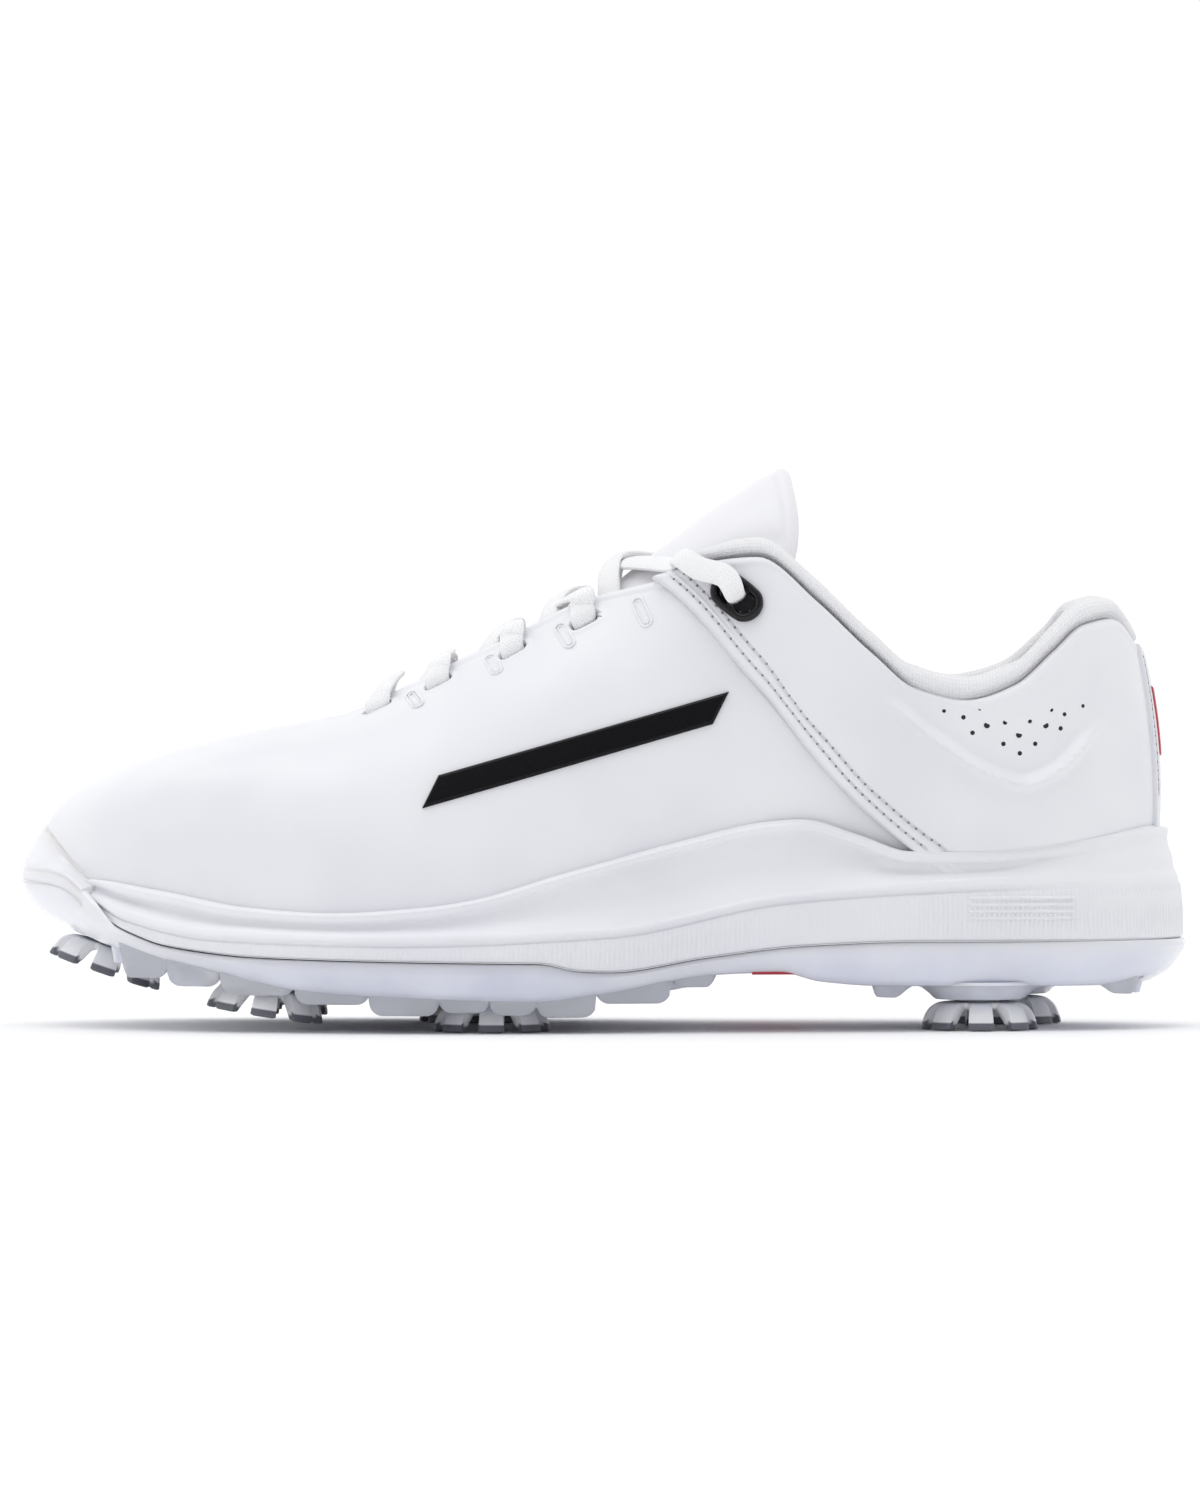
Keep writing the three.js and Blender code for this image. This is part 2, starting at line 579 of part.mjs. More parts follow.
// A point of the tongue: t along it, a distance across from its middle, a depth under its face. Its
// face falls away to both sides, and towards its end it wraps round the ankle.
function tonguePoint(t, across, depth) {
  const place = t * (1 - TONGUE_CORNER * (across / tongueHalf(t)) ** 6);
  const run = tongueLine.getTangentAt(place);
  const up = new THREE.Vector3(-run.z, 0, run.x).normalize();
  const plumb = new THREE.Vector3(0, 0, 1);
  const fall = up.clone().lerp(plumb, tonguePlumb(t)).normalize();
  const out = up.clone().add(new THREE.Vector3(0, 2 * tongueBow(t) * across, 0)).normalize();
  return tongueLine.getPointAt(place).addScaledVector(fall, -tongueBow(t) * across * across)
    .addScaledVector(out, -depth).add(new THREE.Vector3(0, across, 0));
}

function tongueSolid() {
  const columns = 15;
  const rows = 9;
  const grid = (depth) =>
    Array.from({ length: columns }, (_, i) => {
      const t = i / (columns - 1);
      return Array.from({ length: rows }, (_, j) => {
        const across = (2 * j) / (rows - 1) - 1;
        return tonguePoint(t, across * tongueHalf(t), depth * (1 - 0.6 * across ** 6));
      });
    });
  return sheetSolid(grid(0), grid(TONGUE_THICKNESS));
}
add("tongue", tongueSolid(), WHITE, 0.5);

// ---------------------------------------------------------------- lace

// The lace crosses the tongue from slot to slot. It goes down through each slot, back under the
// eyestay, over the tongue and on to the next slot of the other side. Past the last slots it runs
// over the collar's front, in through the top eyelet and down inside the shoe.
// Each point is held by the wall (|sigma|, v, offset), by the tongue (t, across, lift) or by the
// upper's top edge (|sigma|, up, out). The side is 1 where the half lace starts, -1 opposite.
const LACE_BAR = ["tongue", 1, 0.21, 0, 6.4];
const laceAtSlot = (side, s) => [
  ["wall", side, s, 0.995, 2.2],
  ["wall", side, s, 0.945, 1.9],
  ["wall", side, s, SLOT_V + 0.003, 0.5],
  ["wall", side, s, SLOT_V, -2.8],
  ["wall", side, s + 0.002, SLOT_V + 0.012, -5.7],
  ["wall", side, s + 0.012, 0.985, -5.4],
];
const LACE_CROSSINGS = [0.3, 0.415, 0.53, 0.66]; // t on the tongue of the crossings past each row
const LACE_TOP = [
  ["edge", 1, 0.52, 3, -1.5],
  ["edge", 1, 0.529, 2.2, 3.6],
  ["wall", 1, 0.545, 0.965, 5],
  ["wall", 1, 0.565, 0.93, 5.6],
];
const LACE_END = [
  ["wall", 1, 0.597, 0.83, -9],
  ["wall", 1, 0.605, 0.74, -9.6],
  ["wall", 1, 0.618, 0.62, -9.6],
  ["wall", 1, 0.628, 0.52, -9],
];
const AGLET_END = ["wall", 1, 0.64, 0.36, -8.6];

function laceHalf(side, liftOf) {
  const points = [];
  SLOT_ROWS.forEach((s, row) => {
    points.push(...laceAtSlot((-1) ** row, s));
    points.push(["tongue", 1, LACE_CROSSINGS[row], 0, liftOf(row)]);
  });
  points.push(...LACE_TOP);
  const eye = eyeletPlaces[side < 0 ? 0 : 1];
  for (const depth of [5.4, 1, -8]) points.push(["wall", 1, Math.abs(eye[0]), eye[1], depth]);
  points.push(...LACE_END);
  return points.map((place) => lacePoint(side, place));
}

function lacePoint(half, [held, side, a, b, c]) {
  if (held === "tongue") return tonguePoint(a, b, -c);
  const sigma = half * side * a;
  if (held === "wall") return upperAt(sigma, b, c);
  const edge = upperPoint(sigma, 1);
  const climb = edge.clone().sub(upperPoint(sigma, 0.98)).normalize();
  return edge.addScaledVector(climb, b).addScaledVector(upperNormal(sigma, 1), c);
}

const lateralHalf = laceHalf(-1, (row) => (row % 2 ? 3 : 5));
const medialHalf = laceHalf(1, (row) => (row % 2 ? 5 : 3));
const lacePath = [...lateralHalf.toReversed(), lacePoint(1, LACE_BAR), ...medialHalf];

// A flat ribbon with rounded edges along the path. Its width lies along the throat wherever it can.
function ribbon(path, widthAt, thickness) {
  const sides = 8;
  let across = EYELET_RUN.clone();
  const rings = path.map((point, i) => {
    const before = path[Math.max(0, i - 1)];
    const after = path[Math.min(path.length - 1, i + 1)];
    const run = after.clone().sub(before).normalize();
    const wish = THROAT_RUN.clone().addScaledVector(run, -THROAT_RUN.dot(run));
    if (wish.length() > 0.45) across = wish;
    across = across.clone().addScaledVector(run, -across.dot(run)).normalize();
    const up = run.clone().cross(across);
    return Array.from({ length: sides }, (_, k) => {
      const turn = ((k + 0.5) * 2 * Math.PI) / sides;
      return point.clone().addScaledVector(across, (Math.cos(turn) * widthAt(i)) / 2 / 0.924)
        .addScaledVector(up, (Math.sin(turn) * thickness) / 2 / 0.924);
    });
  });
  const points = rings.flat();
  const triangles = [];
  for (let i = 0; i < rings.length - 1; i++) {
    for (let k = 0; k < sides; k++) {
      const a = i * sides + k;
      const b = i * sides + ((k + 1) % sides);
      triangles.push([a, b, b + sides], [a, b + sides, a + sides]);
    }
  }
  const lastRing = (rings.length - 1) * sides;
  for (let k = 1; k < sides - 1; k++) {
    triangles.push([0, k + 1, k], [lastRing, lastRing + k, lastRing + k + 1]);
  }
  return closedMesh(points, triangles);
}
const pinched = LACE_END.length + 4;
const laceWidth = (i) =>
  LACE_WIDTH * (Math.min(i, lacePath.length - 1 - i) < pinched ? LACE_PINCH : 1);
add("lace", ribbon(lacePath, laceWidth, LACE_THICKNESS), WHITE, 0.9);

// A lace tip: a small tube's solid that starts a gap past the lace's end.
function aglet(side) {
  const from = lacePoint(side, LACE_END.at(-1));
  const to = lacePoint(side, AGLET_END);
  const run = to.clone().sub(from);
  const length = run.length();
  const tip = new THREE.CylinderGeometry(AGLET_RADIUS, AGLET_RADIUS, length - GAP, 8);
  tip.translate(0, (length + GAP) / 2, 0);
  const turn = new THREE.Quaternion().setFromUnitVectors(new THREE.Vector3(0, 1, 0), run.normalize());
  return tip.applyQuaternion(turn).translate(...from.toArray());
}
add("aglet_lateral", aglet(-1), "#f2f2f4", 0.3);
add("aglet_medial", aglet(1), "#f2f2f4", 0.3);

// ---------------------------------------------------------------- board, insole and midsole

// A flat slab inside the upper: its edge stands inside the wall's foot by the given offset.
function footSlab(offset, low, thickness, count = 48) {
  const edge = (height) => (sigma) => {
    const point = upperAt(sigma, 0, -offset);
    return new THREE.Vector3(point.x, point.y, floorHeight(soleShare(sigma)) + height);
  };
  return ringSolid([edge(low + thickness), edge(low)], count);
}
add("strobel_board", footSlab(LEATHER + LAYER_GAP, GAP, BOARD), "#d8d0c0", 0.9);
add("sockliner", footSlab(LEATHER + COUNTER + LINING + 2 * GAP + 0.8, 2 * GAP + BOARD,
  SOCK_THICKNESS), "#cfd2da", 0.85);

const CUSHION_SHARE = 0.83;
const CUSHION_RADIUS = 22;
const CUSHION_DEPTH = 8;

function puck(radius, low, high, segments = 36) {
  const geometry = new THREE.CylinderGeometry(radius, radius, high - low, segments);
  geometry.rotateX(Math.PI / 2);
  return geometry.translate(xAt(CUSHION_SHARE), centreLine(CUSHION_SHARE), (low + high) / 2);
}

// The cup's inner wall stands a gap off the upper, which carries the quarter towards the heel.
const cupOffset = through([0.58, LAYER_GAP], [0.66, LEATHER + LAYER_GAP + 1.5 * GAP]);
const cupRing = (height) => (sigma) => {
  const s = Math.abs(foldSigma(sigma));
  const top = lipHeight(soleShare(sigma)) - floorHeight(soleShare(sigma)) - GAP;
  const z = floorHeight(soleShare(sigma)) + GAP + top * height;
  const point = upperAt(sigma, upperHeight(sigma, z), cupOffset(s));
  point.z = height === 0 ? z - GAP : z;
  return point;
};
const lipInset = through([0, 4.4], [0.05, 4.2], [0.12, 2.4], [0.6, 2.4], [0.85, 3.6], [1, 4.6]);
const past = (extra) => (share) => bumperDepth(share) + extra;
const midsole = ringSolid([
  cupRing(0),
  cupRing(0.5),
  cupRing(1),
  soleRing((share) => lipInset(share), (share) => lipHeight(share) - 0.3),
  soleRing((share) => lipInset(share) - 0.25, (share) => lipHeight(share) - 2.2),
  soleRing((share) => Math.max(lipInset(share), past(0.4)(share)) + 1.2,
    (share) => 0.62 * lipHeight(share) + 0.38 * ridgeHeight(share)),
  soleRing((share) => past(0.9)(share) + 0.6, (share) => ridgeHeight(share) + 0.6),
  soleRing(past(0.6), (share) => 0.75 * ridgeHeight(share) + 0.25 * plateTop(share)),
  soleRing(past(0.5), (share) => 0.35 * ridgeHeight(share) + 0.65 * plateTop(share)),
  soleRing(past(1), (share) => plateTop(share) + GAP),
]);
const heelFloor = floorHeight(CUSHION_SHARE);
// The cushion's flat top stays under the board, which falls towards the cushion's front.
const cushionFront = floorHeight(CUSHION_SHARE - CUSHION_RADIUS / LENGTH);
const cushionTop = Math.min(heelFloor - 0.4, cushionFront + 0.32);
add("midsole", cut(midsole, puck(CUSHION_RADIUS, heelFloor - CUSHION_DEPTH, heelFloor + 6)), WHITE,
  0.55);
add("heel_cushion", puck(CUSHION_RADIUS - GAP, heelFloor - CUSHION_DEPTH + GAP, cushionTop),
  "#d5dcea", 0.4);

// ---------------------------------------------------------------- outsole

// A cleat seat: its share of the length, its place across, its height and its tilt along the shoe.
const SEATS = [
  { name: "toe", share: 0.078, across: 1, height: 21, tilt: 19 },
  { name: "forefoot_lateral", share: 0.215, across: -29, height: 11.4, tilt: 9 },
  { name: "forefoot_medial", share: 0.215, across: 29, height: 11.4, tilt: 9 },
  { name: "ball_lateral", share: 0.405, across: -31, height: CLEAT_HEIGHT, tilt: 0 },
  { name: "ball_medial", share: 0.39, across: 29, height: CLEAT_HEIGHT, tilt: 0 },
  { name: "heel_lateral", share: 0.821, across: -20, height: CLEAT_HEIGHT, tilt: 0 },
  { name: "heel_medial", share: 0.846, across: 20, height: CLEAT_HEIGHT, tilt: 0 },
];

function seatMatrix({ share, across, height, tilt }) {
  const turn = new THREE.Matrix4().makeRotationY(THREE.MathUtils.degToRad(tilt));
  turn.setPosition(xAt(share), centreLine(share) + across, height);
  return turn;
}

function seatCylinder(seat, radius, low, high, segments) {
  const geometry = new THREE.CylinderGeometry(radius, radius, high - low, segments);
  geometry.rotateX(Math.PI / 2);
  geometry.translate(0, 0, (low + high) / 2);
  return geometry.applyMatrix4(seatMatrix(seat));
}

// A tapered block that grows down from the plate: its foot is a share of its root's size.
function lug({ from, to, across, width, bottom, bottomEnd = bottom, taper = 0.72 }) {
  const length = (to - from) * LENGTH;
  const root = underside((from + to) / 2) + 3.5;
  const geometry = new THREE.BoxGeometry(length, width, 1, 1, 1, 1);
  const place = geometry.attributes.position;
  for (let i = 0; i < place.count; i++) {
    const low = place.getZ(i) < 0;
    const shrink = low ? taper : 1;
    const atEnd = place.getX(i) > 0;
    const foot = atEnd ? bottomEnd : bottom;
    const rootZ = Math.min(root, underside(atEnd ? to : from) + 3.5);
    place.setXYZ(i, xAt((from + to) / 2) + place.getX(i) * shrink,
      centreLine((from + to) / 2) + across + place.getY(i) * shrink, low ? foot : rootZ);
  }
  return geometry;
}

const LUGS = [-1, 1].flatMap((side) => [
  lug({ from: 0.079, to: 0.101, across: side * 23, width: 9, bottom: 17 }),
  lug({ from: 0.136, to: 0.163, across: side * 31, width: 14, bottom: 12.4 }),
  lug({ from: 0.238, to: 0.295, across: side * 7, width: 9, bottom: 6 }),
  lug({ from: 0.297, to: 0.348, across: side * 37, width: 15, bottom: 4.2 }),
  lug({ from: 0.442, to: 0.494, across: side * 9, width: 10, bottom: 4.8 }),
  lug({ from: 0.502, to: 0.598, across: side * 30, width: 9, bottom: 6.4, bottomEnd: 12.6 }),
  lug({ from: 0.735, to: 0.75, across: side * 24, width: 10, bottom: 8.5 }),
  lug({ from: 0.945, to: 0.962, across: side * 16, width: 8, bottom: 8.6 }),
]);

const BAR_FROM = 0.626;
const BAR_TO = 0.662;
const BAR_THICKNESS = 1.6;

function archBlock(clearance, thickness) {
  const width = WIDTH;
  const length = (BAR_TO - BAR_FROM) * LENGTH + 2 * clearance;
  const bottom = underside((BAR_FROM + BAR_TO) / 2) - 0.5;
  const geometry = new THREE.BoxGeometry(length, width, thickness + 0.5 + clearance);
  const share = (BAR_FROM + BAR_TO) / 2;
  return geometry.translate(xAt(share), centreLine(share),
    bottom + (thickness + 0.5 + clearance) / 2);
}

const wallTop = (share) => plateTop(share) + bumperHeight(share);
const plate = ringSolid([
  soleRing((share) => Math.max(0.8, past(0)(share)), plateTop),
  soleRing((share) => Math.max(0.55, past(-0.1)(share)), (share) => wallTop(share) - 0.1),
  soleRing(0.3, (share) => wallTop(share) - 0.15),
  soleRing(0, (share) => wallTop(share) - 0.9),
  soleRing((share) => 0.2 * edgeLift(share), (share) => underside(share) + edgeLift(share)),
  soleRing((share) => 1.5 * edgeLift(share), underside),
]);
const bosses = SEATS.map((seat) => seatCylinder(seat, BOSS_RADIUS, 0, BOSS_HEIGHT, 16));
const pockets = SEATS.map((seat) =>
  seatCylinder(seat, SOCKET_RADIUS + GAP, -1, SOCKET_DEPTH + GAP, 16));
const outsole = cut(join(plate, ...LUGS, ...bosses), ...pockets, archBlock(GAP, BAR_THICKNESS + GAP));
add("outsole", outsole, "#c9d0ea", 0.3);

// The bar takes the plate's own width, a little inside its edges.
const barWidth = ringSolid([
  soleRing(2.5, () => 40),
  soleRing(2.5, () => 5),
], 48);
add("arch_bar", geometryOf(solidOf(archBlock(0, BAR_THICKNESS)).intersect(solidOf(barWidth))), RED,
  0.4);

// ---------------------------------------------------------------- cleats and their sockets

const turned = (outline, segments = 16) =>
  new THREE.LatheGeometry(outline.map(([r, z]) => new THREE.Vector2(r, z)), segments)
    .rotateX(Math.PI / 2);

function socketGeometry() {
  const bore = POST_RADIUS + POST_CLEARANCE;
  const roof = POST_LENGTH + POST_CLEARANCE;
  return turned([[bore, 0.1], [SOCKET_RADIUS, 0.1], [SOCKET_RADIUS, SOCKET_DEPTH], [0, SOCKET_DEPTH],
    [0, roof], [bore, roof], [bore, 0.1]].map(([r, z]) => [r, z]));
}

// The cleat's section, from the middle of its underside to the top of its post, as [r, z] on a leg
// and [r, z] in the notch between two legs.
const CLEAT_SECTION = [
  [[6.5, -2.6], [6.2, -2.6]],
  [[9.5, -3.4], [8, -2.6]],
  [[CLEAT_SPAN / 2 - 2.2, -CLEAT_HEIGHT], [9, -2.3]],
  [[CLEAT_SPAN / 2, -CLEAT_HEIGHT], [9.4, -1.9]],
  [[CLEAT_SPAN / 2 - 1.4, -3.2], [9.5, -1.3]],
  [[10.4, -0.9], [9.3, -0.9]],
  [[8.8, -0.5], [8.6, -0.5]],
  [[POST_RADIUS, -0.5], [POST_RADIUS, -0.5]],
  [[POST_RADIUS, POST_LENGTH], [POST_RADIUS, POST_LENGTH]],
];
const LEG_SHARE = 0.27; // half of a leg's angle, as a share of the angle from leg to leg

function cleatGeometry() {
  const angles = Array.from({ length: CLEAT_LEGS }, (_, i) =>
    [-LEG_SHARE, LEG_SHARE, 0.5].map((share) => [i + share, share === 0.5])).flat();
  const count = angles.length;
  const points = CLEAT_SECTION.flatMap((level) =>
    angles.map(([turn, notch]) => {
      const [r, z] = level[notch ? 1 : 0];
      const angle = (turn * 2 * Math.PI) / CLEAT_LEGS;
      return new THREE.Vector3(r * Math.cos(angle), r * Math.sin(angle), z);
    }));
  const foot = points.push(new THREE.Vector3(0, 0, -2.6)) - 1;
  const head = points.push(new THREE.Vector3(0, 0, POST_LENGTH)) - 1;
  const lastLevel = (CLEAT_SECTION.length - 1) * count;
  const triangles = [];
  for (let i = 0; i < count; i++) {
    const next = (i + 1) % count;
    triangles.push([foot, next, i], [head, lastLevel + i, lastLevel + next]);
    for (let low = 0; low < lastLevel; low += count) {
      triangles.push([low + i, low + next, low + count + next]);
      triangles.push([low + i, low + count + next, low + count + i]);
    }
  }
  return closedMesh(points, triangles);
}

for (const seat of SEATS) {
  const place = new THREE.Group();
  place.applyMatrix4(seatMatrix(seat));
  shoe.add(place);
  add("cleat_socket_" + seat.name, socketGeometry(), "#b9bfd2", 0.5, 0, place);
  add("cleat_" + seat.name, cleatGeometry(), "#dfe1e8", 0.5, 0, place);
}

// ---------------------------------------------------------------- standing on its own origin

const box = new THREE.Box3().setFromObject(shoe);
shoe.position.set(-(box.min.x + box.max.x) / 2, -(box.min.y + box.max.y) / 2, -box.min.z);

export default shoe;
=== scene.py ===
# %% [markdown]
# # A white golf shoe, piece by piece
#
# The shoe is sewn and glued from leather, textile, foam and plastic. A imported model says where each
# piece sits and what turns on what. This lesson loads that model as a frame, leaves its hidden
# pieces in place, and builds each piece that shows again, finely, over the one it stands for.

# %% The frame and its box
import math
import bpy
import bmesh
import numpy as np
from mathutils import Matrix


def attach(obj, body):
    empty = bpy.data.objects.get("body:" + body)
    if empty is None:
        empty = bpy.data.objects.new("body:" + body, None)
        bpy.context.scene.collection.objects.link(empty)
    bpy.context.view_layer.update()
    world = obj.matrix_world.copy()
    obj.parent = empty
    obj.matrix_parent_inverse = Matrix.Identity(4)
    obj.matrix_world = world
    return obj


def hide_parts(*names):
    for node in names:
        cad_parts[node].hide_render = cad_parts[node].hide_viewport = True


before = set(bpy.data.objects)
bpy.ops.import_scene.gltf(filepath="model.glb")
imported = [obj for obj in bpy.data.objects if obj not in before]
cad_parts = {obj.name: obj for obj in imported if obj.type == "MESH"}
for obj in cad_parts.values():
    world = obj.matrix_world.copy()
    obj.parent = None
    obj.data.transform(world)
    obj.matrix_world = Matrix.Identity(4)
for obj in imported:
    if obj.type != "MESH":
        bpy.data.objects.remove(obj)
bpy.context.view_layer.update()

# %% [markdown]
# ## The camera
#
# A catalogue view of a shoe is taken from far away with a long lens, so that the near and the far
# edge of the sole keep the same size. A perspective camera three metres off does that, and still
# lets other views move it. It looks at the shoe's outer side from just above the floor.

# %% The camera
VIEW_ELEVATION = math.radians(1.0)
VIEW_DISTANCE = 3.0
VIEW_HEIGHT = 0.3828 # what the frame takes in, top to bottom, at the shoe
VIEW_CENTRE = np.array([-0.0009, -0.05, 0.0724])

camera = bpy.data.objects.new("camera", bpy.data.cameras.new("camera"))
camera.data.sensor_width = 36
camera.data.lens = 36 * VIEW_DISTANCE / VIEW_HEIGHT
camera.data.clip_end = 30
camera.location = VIEW_CENTRE + VIEW_DISTANCE * np.array(
    [0, -math.cos(VIEW_ELEVATION), math.sin(VIEW_ELEVATION)])
camera.rotation_euler = (math.pi / 2 - VIEW_ELEVATION, 0, 0)
bpy.context.scene.collection.objects.link(camera)
bpy.context.scene.camera = camera
print("the camera's lens is", round(camera.data.lens), "mm")

# %% [markdown]
# ## Floor and light
#
# White leather shows its shape only through soft shade, so the light is a very wide, soft sun over
# the shoe, a panel before it, and a pale room all round. The floor is one plane with a faint grain.

# %% Lights
SUN_STRENGTH = 0.8
SUN_SPREAD = math.radians(45)
PANEL_POWER = 1.8
PANEL_PLACE = (-1.3, -1.6, 1.0)
ROOM_STRENGTH = 1.02

def panel(name, place, target, size, power):
    """A rectangular light at a place, turned to face a target."""
    light = bpy.data.lights.new(name, "AREA")
    light.shape = "RECTANGLE"
    light.size, light.size_y = size
    light.energy = power
    lamp = bpy.data.objects.new(name, light)
    lamp.location = place
    aim = np.array(target) - np.array(place)
    lamp.rotation_euler = (math.acos(-aim[2] / np.linalg.norm(aim)), 0,
                           math.atan2(-aim[0], aim[1]))
    bpy.context.scene.collection.objects.link(lamp)

sun = bpy.data.lights.new("soft_sun", "SUN")
sun.energy = SUN_STRENGTH
sun.angle = SUN_SPREAD
overhead = bpy.data.objects.new("soft_sun", sun)
overhead.rotation_euler = (math.radians(14), math.radians(-8), 0)
bpy.context.scene.collection.objects.link(overhead)
panel("front_light", PANEL_PLACE, (0, 0, 0.06), (0.9, 0.7), PANEL_POWER)

world = bpy.data.worlds.new("room")
bpy.context.scene.world = world
world.use_nodes = True
nodes, links = world.node_tree.nodes, world.node_tree.links
toward = nodes.new("ShaderNodeTexCoord")
parts = nodes.new("ShaderNodeSeparateXYZ")
depth = nodes.new("ShaderNodeMapRange")
shade = nodes.new("ShaderNodeMix")
shade.data_type = "RGBA"
links.new(toward.outputs["Generated"], parts.inputs[0])
links.new(parts.outputs["Y"], depth.inputs["Value"])
depth.inputs["From Min"].default_value = -0.9
depth.inputs["From Max"].default_value = 0.1
links.new(depth.outputs["Result"], shade.inputs[0])
shade.inputs[6].default_value = (0.46, 0.465, 0.5, 1) # the room before the shoe, a little dimmer
shade.inputs[7].default_value = (1, 1, 1, 1)
links.new(shade.outputs[2], nodes["Background"].inputs["Color"])
nodes["Background"].inputs["Strength"].default_value = ROOM_STRENGTH
bpy.context.scene.view_settings.view_transform = "Standard"
print("a soft sun and a panel in a pale room")

# %% [markdown]
# ## A finish written as sums
#
# A finish is a small graph of nodes. To keep it readable, a wire stands for a node's output, and
# sums and products of wires add the Math nodes. Every other node comes from one method.

# %% Wires and finishes
class Wire:
    """One output of a node. Arithmetic on wires and numbers adds Math nodes."""

    def __init__(self, finish, socket):
        self.finish, self.socket = finish, socket

    def math(self, operation, *values):
        return self.finish.node("ShaderNodeMath", {"operation": operation}, dict(enumerate(values)))[0]

    def __add__(self, other): return self.math("ADD", self, other)
    def __radd__(self, other): return self.math("ADD", other, self)
    def __sub__(self, other): return self.math("SUBTRACT", self, other)
    def __mul__(self, other): return self.math("MULTIPLY", self, other)
    def __rmul__(self, other): return self.math("MULTIPLY", other, self)
    def sine(self): return self.math("SINE", self)
    def size(self): return self.math("ABSOLUTE", self)
    def most(self, other): return self.math("MAXIMUM", self, other)

    def step(self, low, high):
        """0 below low, 1 above high, smooth between them."""
        node = self.finish.node("ShaderNodeMapRange", {"interpolation_type": "SMOOTHSTEP"},
                                {0: self, 1: low, 2: high, 3: 0, 4: 1})
        return node[0]


class Outputs:
    """The outputs of one node, each a wire."""

    def __init__(self, finish, node):
        self.finish, self.outputs = finish, node.outputs

    def __getitem__(self, key):
        return Wire(self.finish, self.outputs[key])


class Finish:
    """A material. Numbers that are the same all over are set on the shader itself."""

    def __init__(self, name, colour, roughness, **shader):
        self.material = bpy.data.materials.new(name)
        self.material.use_nodes = True
        self.tree = self.material.node_tree
        self.shader = self.tree.nodes["Principled BSDF"]
        self.set({"Base Color": (*colour, 1), "Roughness": roughness})
        self.set({key.replace("_", " "): value for key, value in shader.items()})

    def plug(self, node, inputs):
        for key, value in inputs.items():
            if isinstance(value, Wire):
                self.tree.links.new(value.socket, node.inputs[key])
            else:
                node.inputs[key].default_value = value

    def set(self, inputs):
        self.plug(self.shader, inputs)

    def node(self, kind, settings=None, inputs=None):
        made = self.tree.nodes.new(kind)
        for key, value in (settings or {}).items():
            setattr(made, key, value)
        self.plug(made, inputs or {})
        return Outputs(self, made)

    def place(self):
        """Where a point of the piece is, in metres."""
        return self.node("ShaderNodeTexCoord")["Object"]

    def laid(self):
        """A point's distances along and across its piece, in metres, from the piece's own map."""
        split = self.node("ShaderNodeSeparateXYZ", None, {0: self.node("ShaderNodeTexCoord")["UV"]})
        return split[0], split[1]

    def mark(self, name):
        """A number that the piece carries on its points."""
        return self.node("ShaderNodeAttribute", {"attribute_name": name})["Fac"]

    def noise(self, scale, detail=2.0, where=None):
        return self.node("ShaderNodeTexNoise", None,
                         {"Vector": where or self.place(), "Scale": scale, "Detail": detail})["Fac"]

    def cells(self, scale, feature="F1", where=None):
        return self.node("ShaderNodeTexVoronoi", {"feature": feature},
                         {"Vector": where or self.place(), "Scale": scale})["Distance"]

    def tint(self, share, low, high):
        """A colour between two, by a wire from 0 to 1."""
        node = self.node("ShaderNodeMix", {"data_type": "RGBA"},
                         {0: share, 6: self.paint(low), 7: self.paint(high)})
        return node[2]

    @staticmethod
    def paint(colour):
        return colour if isinstance(colour, Wire) else (*colour, 1)

    def relief(self, height, depth, strength=1.0):
        """Raises the surface by height times depth, in metres, in its shading."""
        bump = self.node("ShaderNodeBump", None,
                         {"Height": height, "Distance": depth, "Strength": strength})
        self.set({"Normal": bump["Normal"]})
        return self

# %% [markdown]
# ## Smooth leather
#
# The upper is full-grain leather with a thin polyurethane coat: almost white, with pores under a
# millimetre, a slow change of tone where it was stretched over the last, and edges that are a
# little greyer where the cut shows. The same edge mark also darkens the stitch furrows, the ankle's
# ridge and the tongue's groove, which is painted shade. The hollow mark paints the sunk slots and the
# eyelet's hole near black, also painted shade. Cells give the pores, a slow noise the tone.

# %% Leather
def leather(name, light, shade, roughness, grain=1050, depth=0.00005):
    made = Finish(name, light, roughness, Coat_Weight=0.12, Coat_Roughness=0.32, Specular_IOR_Level=0.45)
    at = made.place()
    pores = made.cells(grain, "SMOOTH_F1", at)
    fine = made.noise(4200, 2, at)
    slow = made.noise(24, 2, at).step(0.3, 0.72)
    creases = made.noise(260, 3, at)
    edge = made.mark("edge")
    hollow = made.mark("hollow")
    clean = made.tint(slow, light, shade)
    # Greyer at cut edges, and darker in stitch furrows, on the ankle's ridge and in the tongue's groove:
    # partly wear, partly painted shade
    rubbed_and_shaded = made.tint(edge * 0.32, clean, (0.52, 0.53, 0.57))
    # Near black where the hollow mark is set, in the sunk slots and the eyelet's hole: painted shade
    made.set({
        "Base Color": made.tint(hollow, rubbed_and_shaded, (0.05, 0.05, 0.06)),
        "Roughness": roughness + 0.16 * (fine - 0.5) + 0.12 * (slow - 0.5) + 0.2 * edge,
    })
    return made.relief(pores * 0.55 + fine * 0.18 + creases * 0.5, depth, 0.55)

white_leather = leather("white_leather", (0.86, 0.865, 0.885), (0.81, 0.815, 0.85), 0.4)
tongue_leather = leather("tongue_leather", (0.87, 0.87, 0.885), (0.83, 0.83, 0.86), 0.46, 900, 0.00007)
print("two leathers")
